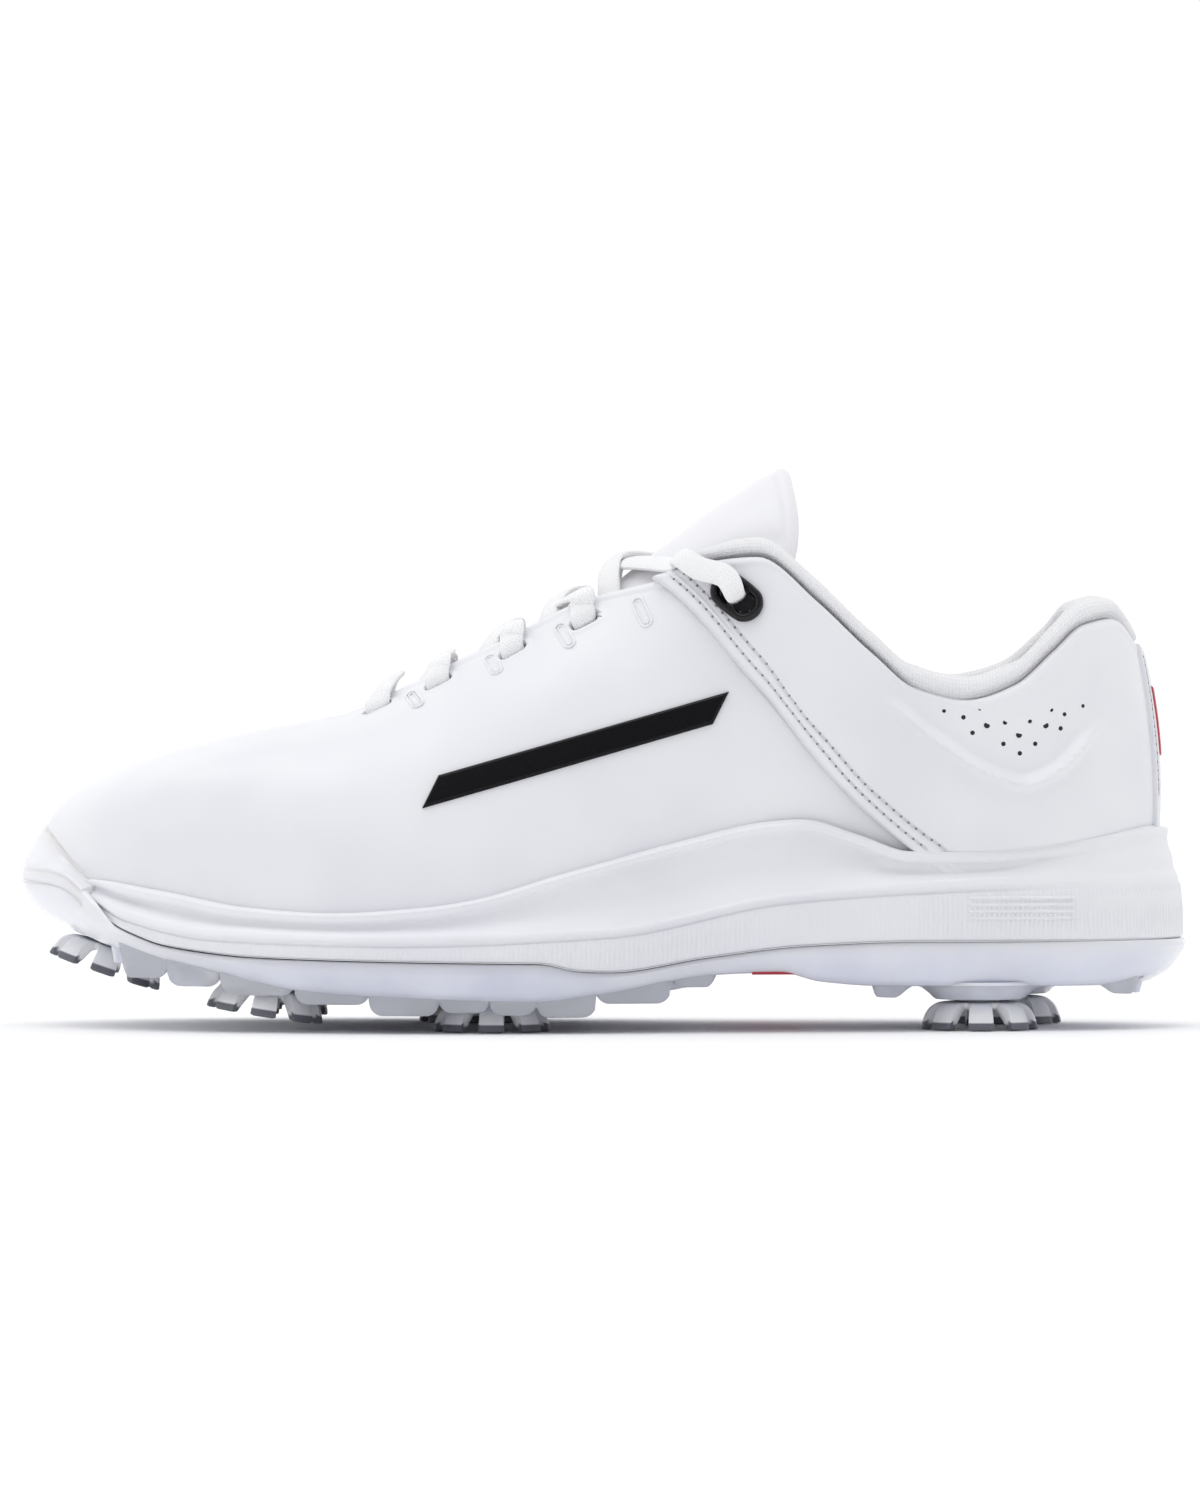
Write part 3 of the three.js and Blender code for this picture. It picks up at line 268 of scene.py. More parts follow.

# %% [markdown]
# ## Knits and weaves
#
# The collar is covered in a fine knit, the lace is a flat braid, and the linings are an open mesh.
# All three are patterns of threads that follow the piece, so they read the piece's own map of
# distances. A braid is two families of waves that cross, each bulging between its crossings. The
# colour of each follows its threads, from shade between them to light on their crowns: painted shade.

# %% Textiles
def knit(name, light, shade, pitch, depth, roughness=0.9):
    made = Finish(name, light, roughness, Sheen_Weight=0.35, Sheen_Roughness=0.45, Specular_IOR_Level=0.25)
    along, across = made.laid()
    wales = (across * (math.pi / pitch)).sine().size()
    row = along * (math.pi / (pitch * 0.8)) + wales * 0.9
    loops = row.sine().size() * wales
    fuzz = made.noise(3200, 3)
    slow = made.noise(60, 2).step(0.3, 0.7)
    # Darker between the loops and lighter on them, which is painted shade; the slow noise adds a random
    # change of tone
    made.set({
        "Base Color": made.tint(loops * 0.75 + slow * 0.25, shade, light),
        "Roughness": roughness + 0.12 * (fuzz - 0.5),
    })
    return made.relief(loops + fuzz * 0.35, depth, 0.8)

def braid(name, light, shade, pitch, depth):
    made = Finish(name, light, 0.85, Sheen_Weight=0.3, Sheen_Roughness=0.4, Specular_IOR_Level=0.3)
    along, across = made.laid()
    right = ((along + across) * (math.pi / pitch)).sine().size()
    left = ((along - across) * (math.pi / pitch)).sine().size()
    strands = right.most(left) - right * left * 0.4
    fuzz = made.noise(2600, 3)
    # Darker between the strands and lighter on their crowns: painted shade
    made.set({
        "Base Color": made.tint(strands, shade, light),
        "Roughness": 0.8 + 0.15 * (fuzz - 0.5),
    })
    return made.relief(strands + fuzz * 0.3, depth, 0.9)

collar_knit = knit("collar_textile", (0.93, 0.93, 0.935), (0.84, 0.84, 0.855), 0.0011, 0.00018)
lining_mesh = knit("lining_textile", (0.8, 0.8, 0.83), (0.5, 0.51, 0.56), 0.0016, 0.0003)
sock_fabric = knit("sock_foam", (0.6, 0.62, 0.68), (0.4, 0.42, 0.48), 0.0014, 0.00025)
lace_braid = braid("lace_textile", (0.97, 0.97, 0.97), (0.88, 0.885, 0.9), 0.0011, 0.00018)
thread = braid("stitch_thread", (0.84, 0.84, 0.86), (0.6, 0.6, 0.64), 0.0004, 0.00006)
print("five textiles")

# %% [markdown]
# ## Foam, plastics and trims
#
# The midsole is moulded foam with a fine pebble left by its mould. The outsole is a cloudy,
# lavender plastic that lets some light in, so it scatters light under its skin; its colour is also
# made darker towards the ground. The marks and eyelets are gloss black, with faint rub lines in the gloss.

# %% Moulded finishes
def moulded(name, light, shade, roughness, pebble, depth, **shader):
    made = Finish(name, light, roughness, **shader)
    at = made.place()
    grain = made.noise(pebble, 3, at)
    slow = made.noise(30, 3, at).step(0.3, 0.7)
    made.set({
        "Base Color": made.tint(slow, light, shade),
        "Roughness": roughness + 0.18 * (grain - 0.5) + 0.06 * slow,
    })
    return made.relief(grain, depth, 0.5)

midsole_foam = moulded("midsole_foam", (0.86, 0.865, 0.885), (0.82, 0.825, 0.86), 0.48, 1900, 0.00008,
                       Subsurface_Weight=0.12, Subsurface_Radius=(0.004, 0.004, 0.004),
                       Subsurface_Scale=0.5, Coat_Weight=0.08, Coat_Roughness=0.4)
rib_foam = moulded("rib_foam", (0.85, 0.855, 0.88), (0.82, 0.825, 0.86), 0.5, 1900, 0.00008)
socket_plastic = moulded("socket_plastic", (0.42, 0.45, 0.56), (0.36, 0.39, 0.5), 0.35, 1400, 0.00005)
stiffener = moulded("stiffener", (0.6, 0.5, 0.34), (0.5, 0.41, 0.28), 0.8, 900, 0.0001)
board = moulded("board", (0.66, 0.6, 0.5), (0.58, 0.52, 0.43), 0.85, 800, 0.00012)
cushion_film = moulded("cushion_film", (0.6, 0.68, 0.82), (0.55, 0.62, 0.78), 0.3, 500, 0.00005)
clear_tip = moulded("clear_tip", (0.86, 0.87, 0.9), (0.78, 0.79, 0.83), 0.18, 700, 0.00003,
                    Coat_Weight=0.5)
red_trim = moulded("red_trim", (0.52, 0.018, 0.045), (0.42, 0.014, 0.035), 0.42, 1600, 0.00006,
                   Coat_Weight=0.2)

def cloudy(name):
    """Outsole plastic: a lavender that deepens towards the ground, in slow clouds."""
    made = Finish(name, (0.8, 0.82, 0.9), 0.2, Subsurface_Weight=0.55,
                  Subsurface_Radius=(0.006, 0.007, 0.009), Subsurface_Scale=0.6,
                  Coat_Weight=0.5, Coat_Roughness=0.12, IOR=1.5)
    at = made.place()
    height = made.node("ShaderNodeSeparateXYZ", None, {0: at})[2]
    clouds = made.noise(55, 3, at)
    swirl = made.noise(9000, 1, at)
    deep = (height + 0.006 * (clouds - 0.5)).step(0.004, 0.03)
    low = made.tint(clouds.step(0.3, 0.7), (0.6, 0.62, 0.73), (0.68, 0.7, 0.8))
    made.set({
        "Base Color": made.tint(deep, low, (0.84, 0.855, 0.92)),
        "Roughness": 0.16 + 0.12 * clouds,
    })
    return made.relief(clouds * 0.6 + swirl * 0.02, 0.0002, 0.4)

outsole_plastic = cloudy("outsole_plastic")
clear_sole = moulded("clear_sole", (0.86, 0.87, 0.91), (0.76, 0.78, 0.84), 0.1, 700, 0.00006, IOR=1.45,
                     Transmission_Weight=0.6, Coat_Weight=0.4, Coat_Roughness=0.06)
# Grey for needle holes: painted shade where the thread goes in
needle_hole_shade = moulded("needle_hole_shade", (0.3, 0.3, 0.33), (0.22, 0.22, 0.25), 0.8, 900, 0.00005)

def gloss(name, colour, coat=0.05):
    made = Finish(name, colour, 0.2, Coat_Weight=coat, Coat_Roughness=0.1, Specular_IOR_Level=0.14)
    at = made.place()
    stretched = made.node("ShaderNodeMapping", None, {"Vector": at, "Scale": (300, 300, 4200)})[0]
    rubs = made.noise(1.0, 3, stretched)
    dust = made.noise(900, 3, at)
    made.set({
        "Base Color": made.tint(dust.step(0.6, 0.9) * 0.08, colour, (0.08, 0.08, 0.09)),
        "Roughness": 0.1 + 0.1 * rubs + 0.08 * dust.step(0.5, 0.8),
    })
    return made.relief(rubs * 0.5 + dust * 0.5, 0.00002, 0.4)

gloss_black = gloss("gloss_black", (0.004, 0.004, 0.005))
gloss_ring = gloss("gloss_ring", (0.003, 0.003, 0.004), 0.45)

def cleat_finish(name):
    """Cleat plastic: light grey legs whose soft tips are dark, where the tip mark says so."""
    made = Finish(name, (0.6, 0.61, 0.65), 0.4, Coat_Weight=0.15, Coat_Roughness=0.3)
    tip = made.mark("tip")
    scuff = made.noise(700, 4)
    pale = made.tint(scuff, (0.84, 0.845, 0.86), (0.91, 0.91, 0.92))
    made.set({
        "Base Color": made.tint(tip.step(0.55, 0.8), pale, (0.13, 0.135, 0.16)),
        "Roughness": 0.34 + 0.25 * scuff + 0.1 * tip,
    })
    return made.relief(scuff + made.noise(2600, 2) * 0.4, 0.00012, 0.5)

cleat_plastic = cleat_finish("cleat_plastic")
floor_paper = moulded("floor_paper", (0.96, 0.96, 0.96), (0.95, 0.95, 0.95), 0.8, 400, 0.00002)
print(len(bpy.data.materials), "finishes")

# %% [markdown]
# ## The sizes the shoe is built from
#
# The last, the block of the foot's shape that a shoe is made over, gives every curve. Sizes are in
# millimetres and places along the shoe are shares of its length, 0 at the toe and 1 at the heel.

# %% Sizes
LENGTH = 302.0
WIDTH = 108.0
TONGUE_TOP = 145.3
EYESTAY_TOP = 115.5
THROAT_FRONT = 80.5
LOBE_TOP = 121.5
ANKLE_DIP = 84.9
HEEL_PEAK = 105.5
HEEL_CENTRE = 97.5
GAP = 0.3
LAYER_GAP = 0.6
LEATHER = 1.8
COUNTER = 1.8
LINING = 1.2
STIFFENER = 1.0
BOARD = 1.5
SOCK_THICKNESS = 4.5
TONGUE_THICKNESS = 5.0
TRIM = 0.8
BACK_STAY = 1.2
LACE_WIDTH = 6.4
LACE_THICKNESS = 1.3
print("the last is", LENGTH, "mm long and", WIDTH, "mm wide")

# %% [markdown]
# ## Curves that never overshoot
#
# A last is drawn with a few measured stations. Between them the curve has to be smooth but must
# not swing past a station, or a flat sole would ripple. A cubic between each two stations does
# that when its slope at a station is the harmonic mean of the slopes on either side.

# %% A curve through stations
def through(*pairs):
    """A curve through (place, value) pairs, as cubics whose end slopes are harmonic means. It is
    level past its ends."""
    x, y = np.array(pairs, float).T
    slope = np.diff(y) / np.diff(x)
    before, after = slope[:-1], slope[1:]
    agree = before * after > 0
    mean = 2 * before * after / np.where(agree, before + after, 1)
    tangent = np.concatenate([slope[:1], np.where(agree, mean, 0), slope[-1:]])

    def curve(at):
        at = np.clip(at, x[0], x[-1])
        i = np.clip(np.searchsorted(x, at, side="right") - 1, 0, len(x) - 2)
        width = x[i + 1] - x[i]
        t = (at - x[i]) / width
        start = 2 * t**3 - 3 * t**2 + 1
        bend = (t**3 - 2 * t**2 + t) * tangent[i] + (t**3 - t**2) * tangent[i + 1]
        return start * y[i] + (1 - start) * y[i + 1] + width * bend
    return curve

def x_at(share):
    return (share - 0.5) * LENGTH

half_width = through((0, 0.93), (0.12, 1), (0.3, 1.026), (0.4, 1.01), (0.5, 0.9), (0.62, 0.775),
                     (0.74, 0.745), (0.87, 0.75), (1, 0.75))
centre_line = through((0, 8), (0.16, 4.5), (0.3, 1.3), (0.44, -1.2), (0.62, -2), (0.77, 0.4), (1, 1.5))
floor_height = through((0, 37), (0.09, 31.5), (0.17, 26.5), (0.3, 23.2), (0.43, 25), (0.57, 31),
                       (0.7, 35.5), (0.83, 37), (1, 38.5))
lip_height = through((0, 38.6), (0.043, 38.6), (0.113, 35.9), (0.192, 31.8), (0.265, 30.5), (0.343, 31.9),
                     (0.388, 33.9), (0.473, 40.9), (0.573, 48.9), (0.639, 53.2), (0.671, 53.9), (0.72, 50),
                     (0.762, 46), (0.812, 45.8), (0.884, 47.4), (0.98, 51.8))
ridge_height = through((0, 37.2), (0.043, 35), (0.09, 29.5), (0.166, 24.9), (0.31, 23.6), (0.507, 26),
                       (0.653, 34.4), (0.766, 37), (0.987, 39.3))
plate_top = through((0, 36.2), (0.043, 32.5), (0.064, 29.5), (0.09, 25.4), (0.129, 21.5), (0.205, 19),
                    (0.343, 18), (0.447, 17.6), (0.48, 15.7), (0.507, 15.4), (0.589, 19), (0.671, 21.9),
                    (0.77, 22.9), (1, 22.9))
underside = through((0, 28.6), (0.03, 27.4), (0.076, 21.8), (0.17, 15.2), (0.239, 10.8), (0.295, 9.4),
                    (0.366, 8.5), (0.445, 7.9), (0.495, 9.6), (0.598, 14.7), (0.65, 15.2), (0.685, 12.8),
                    (0.74, 11.6), (0.93, 11.4), (1, 13.2))
bumper_height = through((0, 5.2), (0.035, 7), (0.058, 4.4), (0.085, 0.05))
bumper_depth = through((0.035, 3.9), (0.09, 0))
edge_lift = through((0, 5.4), (0.05, 4.6), (0.12, 2.6), (0.9, 2.4), (1, 5.6))
print("the sole is", round(float(half_width(0.3)) * WIDTH, 1), "mm wide at the ball")

# %% [markdown]
# ## The footprint
#
# Seen from above the sole is a long oval with a round toe and a squarer heel. One number runs
# round it: sigma is 0 at the toe and 1 or -1 at the heel, and it is negative on the outer side.
# The cosine of sigma gives the place along the shoe, so points crowd together at both ends.

# %% Footprint
def fold(sigma):
    """sigma brought back between -1 and 1."""
    return (sigma + 1) % 2 - 1

def pair(x, y):
    return np.stack(np.broadcast_arrays(x, y), -1)

def sole_point(sigma):
    """x is minus a cosine of sigma; y is the centre line plus the half width, rounded off by a
    superellipse that is fuller at the heel than at the toe."""
    turned = fold(sigma)
    reach = -np.cos(np.pi * turned)
    power = np.where(reach < 0, 3.1, 4.6)
    rounding = np.sqrt(np.maximum(0, 1 - np.abs(reach) ** power))
    share = 0.5 + reach / 2
    across = np.sign(turned) * WIDTH / 2 * half_width(share) * rounding
    return pair(x_at(share), centre_line(share) + across)

def sole_outward(sigma):
    """The footprint's direction turned by a right angle."""
    run = sole_point(sigma + 1e-3) - sole_point(sigma - 1e-3)
    run /= np.linalg.norm(run, axis=-1, keepdims=True)
    return pair(-run[..., 1], run[..., 0])

def sole_inset(sigma, inset):
    return sole_point(sigma) - sole_outward(sigma) * np.asarray(inset)[..., None]

def sole_share(sigma):
    return 0.5 - np.cos(np.pi * fold(sigma)) / 2

print("the toe's tip is at", np.round(sole_point(0.0), 1))

# %% [markdown]
# ## The upper's surface
#
# The upper is stretched over the last from its foot, glued to the sole, to its top edge. Each
# spoke of it is one cubic curve: where it starts, how it leaves the sole, how it arrives, and where
# it ends are curves round the shoe. Every layer, mark and stitch is placed on this one surface.

# %% Upper surface
foot_inset = through((0, 5.4), (0.2, 6.4), (0.5, 7.2), (0.75, 7.6), (0.9, 10.6), (1, 12.2))
edge_share = through((0, 0.2715), (0.1, 0.275), (0.18, 0.285), (0.27, 0.308), (0.337, 0.351), (0.4, 0.42),
                     (0.452, 0.483), (0.5, 0.54), (0.548, 0.589), (0.588, 0.632), (0.622, 0.679),
                     (0.658, 0.725), (0.691, 0.765), (0.7266, 0.808), (0.768, 0.848), (0.806, 0.881),
                     (0.842, 0.907), (0.882, 0.929), (0.935, 0.946), (1, 0.952))
edge_out = through((0, 0), (0.1, 5.5), (0.18, 8.6), (0.27, 10.4), (0.337, 11.8), (0.4, 14), (0.452, 17.5),
                   (0.5, 22.5), (0.548, 27), (0.588, 30), (0.622, 32.3), (0.658, 33.8), (0.691, 34.2),
                   (0.7266, 33.8), (0.768, 31.8), (0.806, 28.5), (0.842, 24.3), (0.882, 18), (0.935, 9.6),
                   (1, 0))
edge_height = through((0, THROAT_FRONT), (0.1, THROAT_FRONT), (0.18, THROAT_FRONT + 1),
                      (0.27, THROAT_FRONT + 4.5), (0.337, 0.68 * THROAT_FRONT + 0.32 * EYESTAY_TOP),
                      (0.4, 0.4 * THROAT_FRONT + 0.6 * EYESTAY_TOP), (0.452, EYESTAY_TOP - 4.5),
                      (0.5, EYESTAY_TOP), (0.548, LOBE_TOP - 1.5), (0.588, LOBE_TOP),
                      (0.622, 0.7 * LOBE_TOP + 0.3 * ANKLE_DIP),
                      (0.658, 0.34 * LOBE_TOP + 0.66 * ANKLE_DIP),
                      (0.691, ANKLE_DIP + 3), (0.7266, ANKLE_DIP), (0.768, ANKLE_DIP + 3.6),
                      (0.806, HEEL_PEAK - 8.5), (0.842, HEEL_PEAK - 1.5), (0.882, HEEL_PEAK),
                      (0.935, HEEL_CENTRE + 2.5), (1, HEEL_CENTRE))
foot_lean = through((0, 6), (0.1, 5.2), (0.2, 3.6), (0.4, 3), (0.6, 1.8), (0.85, 3.5), (1, 4.2))
foot_rise = through((0, 24), (0.2, 29), (0.4, 33), (0.6, 26), (0.7266, 17), (0.85, 19), (1, 20))
top_reach = through((0, 57), (0.12, 50), (0.27, 31), (0.4, 24), (0.5, 14), (0.588, 6), (0.7266, 2.5),
                    (1, 4.5))
top_drop = through((0, 10.5), (0.27, 13), (0.4, 16), (0.5, 22), (0.588, 26), (0.7266, 15), (1, 16))
seam_sigma = through((0, 0.706), (0.1, 0.69), (0.45, 0.62), (1, 0.502))

def triple(x, y, z):
    return np.stack(np.broadcast_arrays(x, y, z), -1)

def upper_point(sigma, v):
    """A cubic spoke at sigma: (1-v)^3 foot + 3(1-v)^2 v foot handle + 3(1-v)v^2 top handle + v^3 top."""
    turned = fold(np.asarray(sigma, float))
    s, side = np.abs(turned), np.sign(turned)
    out = sole_outward(turned)
    foot = sole_inset(turned, foot_inset(s))
    share = edge_share(s)
    low = triple(foot[..., 0], foot[..., 1], floor_height(sole_share(turned)) + GAP)
    high = triple(x_at(share), centre_line(share) + side * edge_out(s), edge_height(s))
    low_handle = low + triple(out[..., 0] * foot_lean(s), out[..., 1] * foot_lean(s), foot_rise(s))
    high_handle = high + triple(out[..., 0] * top_reach(s), out[..., 1] * top_reach(s), -top_drop(s))
    v = np.asarray(v, float)[..., None]
    w = 1 - v
    return w**3 * low + 3 * w * w * v * low_handle + 3 * w * v * v * high_handle + v**3 * high

def unit(vectors):
    return vectors / np.linalg.norm(vectors, axis=-1, keepdims=True)

def upper_normal(sigma, v):
    """The cross product of the steps up and along the surface."""
    step = 2e-3
    along = upper_point(sigma + step, v) - upper_point(sigma - step, v)
    up = upper_point(sigma, v + step) - upper_point(sigma, v - step)
    return unit(np.cross(up, along))

def upper_at(sigma, v, offset):
    """The surface moved outwards by an offset."""
    return upper_point(sigma, v) + upper_normal(sigma, v) * np.asarray(offset, float)[..., None]

def on_wall(side, share, z):
    """The (sigma, v) whose point has a place along the shoe and a height, found by Newton's steps."""
    share, z = np.broadcast_arrays(np.asarray(share, float), np.asarray(z, float))
    sigma = side * (0.35 + 0.3 * share)
    v = np.full(sigma.shape, 0.5)
    for _ in range(30):
        here = upper_point(sigma, v)
        by_sigma = (upper_point(sigma + 1e-3, v) - here) / 1e-3
        by_v = (upper_point(sigma, v + 1e-3) - here) / 1e-3
        dx, dz = x_at(share) - here[..., 0], z - here[..., 2]
        det = by_sigma[..., 0] * by_v[..., 2] - by_v[..., 0] * by_sigma[..., 2]
        sigma = sigma + 0.7 * (dx * by_v[..., 2] - by_v[..., 0] * dz) / det
        v = np.clip(v + 0.7 * (by_sigma[..., 0] * dz - by_sigma[..., 2] * dx) / det, 0, 1)
    return sigma, v

print("the toe's top edge is at", np.round(upper_point(0.0, 1.0), 1))

# %% [markdown]
# ## From a grid of points to a piece
#
# Almost every piece here is a grid of points, columns by rows, whose faces are quads. A grid may
# close on itself either way, and an open end is closed by one flat face. The same step stores the
# distances along and across for textiles, and the marks that a finish reads.

# %% Grid to mesh
def distances(points, axis, closed):
    """How far each column or row is from the first, in metres, down the middle of the grid."""
    middle = points.shape[1 - axis] // 2
    line = points[:, middle] if axis == 0 else points[middle]
    if closed:
        line = np.concatenate([line, line[:1]])
    steps = np.linalg.norm(np.diff(line, axis=0), axis=1)
    return np.concatenate([[0], np.cumsum(steps)]) / 1000

def surface(name, points, finish, wrap=(False, False), caps=False, marks=None, sharp=40, weld=False):
    """Puts a grid of points, in millimetres, into a mesh object with outward faces."""
    columns, rows = points.shape[:2]
    i, j = np.meshgrid(np.arange(columns - (not wrap[0])), np.arange(rows - (not wrap[1])), indexing="ij")
    corners = [(i, j), (i + 1, j), (i + 1, j + 1), (i, j + 1)]
    flat = points.reshape(-1, 3) / 1000
    faces = np.stack([(a % columns) * rows + b % rows for a, b in corners], -1).reshape(-1, 4)
    p, q, r, s = (flat[faces[:, k]] for k in range(4))
    volume = np.einsum("ij,ij->", p, np.cross(q, r)) + np.einsum("ij,ij->", p, np.cross(r, s))
    if volume < 0:
        corners.reverse()
        faces = faces[:, ::-1]
    along, across = distances(points, 0, wrap[0]), distances(points, 1, wrap[1])
    laid = np.stack([np.stack([along[a], across[b]], -1) for a, b in corners], -2).reshape(-1, 2)
    polygons = faces.tolist()
    if caps:
        first = list(range(rows))
        last = [(columns - 1) * rows + k for k in range(rows)]
        outward = volume > 0
        polygons += [first[::-1] if outward else first, last if outward else last[::-1]]
        laid = np.concatenate([laid, np.zeros((2 * rows, 2))])
    mesh = bpy.data.meshes.new(name)
    mesh.from_pydata(flat.tolist(), [], polygons)
    layer = mesh.uv_layers.new(name="laid")
    layer.data.foreach_set("uv", laid.ravel().astype(np.float32))
    for mark, values in (marks or {}).items():
        attribute = mesh.attributes.new(mark, "FLOAT", "POINT")
        spread = np.broadcast_to(values, (columns, rows)).ravel().astype(np.float32)
        attribute.data.foreach_set("value", spread)
    return finished(name, mesh, finish, sharp, weld)

def finished(name, mesh, finish, sharp=40, weld=False):
    """Links the mesh, shades it smooth up to an angle, and merges points that meet."""
    if weld:
        work = bmesh.new()
        work.from_mesh(mesh)
        bmesh.ops.remove_doubles(work, verts=work.verts, dist=2e-6)
        bmesh.ops.dissolve_degenerate(work, edges=work.edges, dist=1e-7)
        bmesh.ops.recalc_face_normals(work, faces=work.faces)
        work.to_mesh(mesh)
        work.free()
    mesh.shade_smooth()
    mesh.set_sharp_from_angle(angle=math.radians(sharp))
    mesh.materials.append(finish.material)
    piece = bpy.data.objects.new(name, mesh)
    bpy.context.scene.collection.objects.link(piece)
    print(name, len(mesh.polygons), "faces")
    return piece

def fit(piece, slot, *nodes, body="shoe"):
    """The piece moves with a body and stands for the nodes. The slot is not used."""
    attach(piece, body)
    if nodes:
        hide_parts(*nodes)
    return piece

# %% [markdown]
# ## Edges, rounded and remembered
#
# Cut leather shows its thickness, and light catches the rounding of a cut edge before anything
# else. A sheet's thickness falls to nothing over the last millimetre, on a quarter of a circle.

# %% Edge helpers
def rounded(distance, radius):
    """0 at an edge and 1 a radius away, on a quarter circle."""
    return np.sqrt(1 - (1 - np.clip(distance / radius, 0, 1)) ** 2)

def bell(distance, width):
    """1 at no distance, falling off smoothly over a width either way."""
    return np.exp(-((distance / width) ** 2))

def ramp(value, low, high):
    """0 below low and 1 above high, smooth between them."""
    t = np.clip((value - low) / (high - low), 0, 1)
    return t * t * (3 - 2 * t)

def crowded(low, high, count, *spots):
    """count numbers from low to high that crowd at spots, each (place, width, how much denser)."""
    fine = np.linspace(low, high, 4001)
    density = np.ones_like(fine)
    for place, width, more in spots:
        density += more * (np.abs(fine - place) < width)
    total = np.concatenate([[0], np.cumsum((density[1:] + density[:-1]) / 2)])
    return np.interp(np.linspace(0, total[-1], count), total, fine)

def from_edges(points):
    """Distances over the surface from the first and last column and the first and last row."""
    along = np.linalg.norm(np.diff(points, axis=0), axis=-1).cumsum(0)
    along = np.concatenate([np.zeros((1, points.shape[1])), along])
    up = np.linalg.norm(np.diff(points, axis=1), axis=-1).cumsum(1)
    up = np.concatenate([np.zeros((points.shape[0], 1)), up], 1)
    return along, along[-1:] - along, up, up[:, -1:] - up

def sheet_rings(sigma, v, outer, inner, inner_rows=8, shape=None):
    """Rings of a sheet: each column runs up its outer face and down its inner one.
    shape(point, sigma, v, distances) gives how far the outer face stands above the plain one, and
    its marks."""
    base = upper_point(sigma, v)
    normal = upper_normal(sigma, v)
    edges = from_edges(base)
    height, marks = shape(base, sigma, v, edges) if shape else (np.full(sigma.shape, outer), {})
    face = base + normal * height[..., None]
    rows = np.linspace(v.shape[1] - 1, 0, inner_rows).round().astype(int)
    back = (base + normal * inner)[:, rows]
    marks = {mark: np.concatenate([values, np.zeros(back.shape[:2])], 1) for mark, values in marks.items()}
    return np.concatenate([face, back], 1), marks

print("half a radius in, a rounded edge is at", round(float(rounded(0.5, 1.0)), 2), "of its height")

# %% [markdown]
# ## The forepart
#
# The forepart is one piece of leather from the toe to the diagonal seam. Near the throat it has
# four lace slots a side. A slot is a height taken from the sheet, so the grid is densest there; the
# distance to its outline is the distance to a short line, less the slot's half width.

# %% Forepart
THROAT_RUN = np.array([0.85, 0, 0.53])
EYELET_RUN = np.array([0.77, 0, -0.64])
SLOT_ROWS = (0.29, 0.352, 0.405, 0.452)
SLOT_V = 0.905
SLOT_WIDTH = 3.4
SLOT_DEPTH = 1.75
seam_overlap = through((0, 0.045), (0.6, 0.042), (0.85, 0.022), (1, 0.016))

def wall_frame(sigma, v, run):
    """A place on the wall with its long, cross and outward directions."""
    normal = upper_normal(sigma, v)
    long = unit(run - normal * np.dot(run, normal))
    return upper_point(sigma, v), long, np.cross(normal, long), normal

def to_stadium(points, place, length, width):
    """How far each point is outside a rounded slot. It is negative inside the slot, and large for
    points on the other wall."""
    centre, long, cross, normal = place
    away = points - centre
    along = np.maximum(np.abs(away @ long) - (length - width) / 2, 0)
    gap = np.hypot(along, away @ cross) - width / 2
    return np.where(np.abs(away @ normal) < 7, gap, 99.0)

def nearest(points, places, length, width):
    return np.min([to_stadium(points, place, length, width) for place in places], axis=0)

slots = [wall_frame(side * s, SLOT_V, THROAT_RUN) for side in (-1, 1) for s in SLOT_ROWS]

def forepart_shape(base, sigma, v, edges):
    """Rounded at the throat, with a pressed line along it, and sunk in the slots."""
    top = edges[3]
    slot = nearest(base, slots, LACE_WIDTH + 1.4, SLOT_WIDTH)
    height = -LEATHER + LEATHER * rounded(top, 1.3)
    height += 0.22 * bell(top - 2.6, 1.0) - 0.16 * bell(top - 4.4, 0.6)
    height += 0.3 * bell(slot - 0.7, 0.7) - SLOT_DEPTH * ramp(-slot, -0.1, 0.35)
    x, z = base[..., 0], base[..., 2]
    height += 0.12 * np.sin(x / 7 + z / 5) * ramp(x, -110, -70) * ramp(-x, 10, 40) * ramp(v, 0.35, 0.6)
    edge = 0.75 * bell(top, 0.7)
    # The hollow mark paints the sunk slots near black: painted shade where the slots are dark
    return height, {"edge": np.clip(edge, 0, 1), "hollow": ramp(-slot, 0.1, 0.5) * 0.9}

u = crowded(-1, 1, 640, (-0.68, 0.17, 3.5), (0.68, 0.17, 3.5))[:, None]
v = crowded(0, 1, 112, (0.87, 0.13, 2.5), (0.985, 0.015, 5))[None, :]
sigma = u * (seam_sigma(v) + seam_overlap(v))
points, marks = sheet_rings(sigma, np.broadcast_to(v, sigma.shape), 0, -LEATHER, shape=forepart_shape)
forepart = surface("forepart", points, white_leather, (False, True), caps=True, marks=marks)
fit(forepart, "white_leather", "upper_vamp")

# %% [markdown]
# ## Pressed ovals
#
# Below each slot an oval is pressed into the leather, which keeps it from stretching. It is two thin
# rims, each a small circle carried round a slot's outline and half sunk in the leather.

# %% Pressed ovals
LOOP_PLACES = ((-48.7, 85), (-28.4, 94), (-10, 101.5), (9.9, 107.5))
LOOP_RUN = np.array([0.46, 0, -0.89])
LOOP_STRAIGHT = 3.0
RIMS = (("outer", 1.55, 0.36), ("inner", 0.7, 0.24))
loops = []
for side in (-1, 1):
    for x, z in LOOP_PLACES:
        sigma, v = on_wall(side, x / LENGTH + 0.5, z)
        loops.append(wall_frame(float(sigma), float(v), LOOP_RUN))

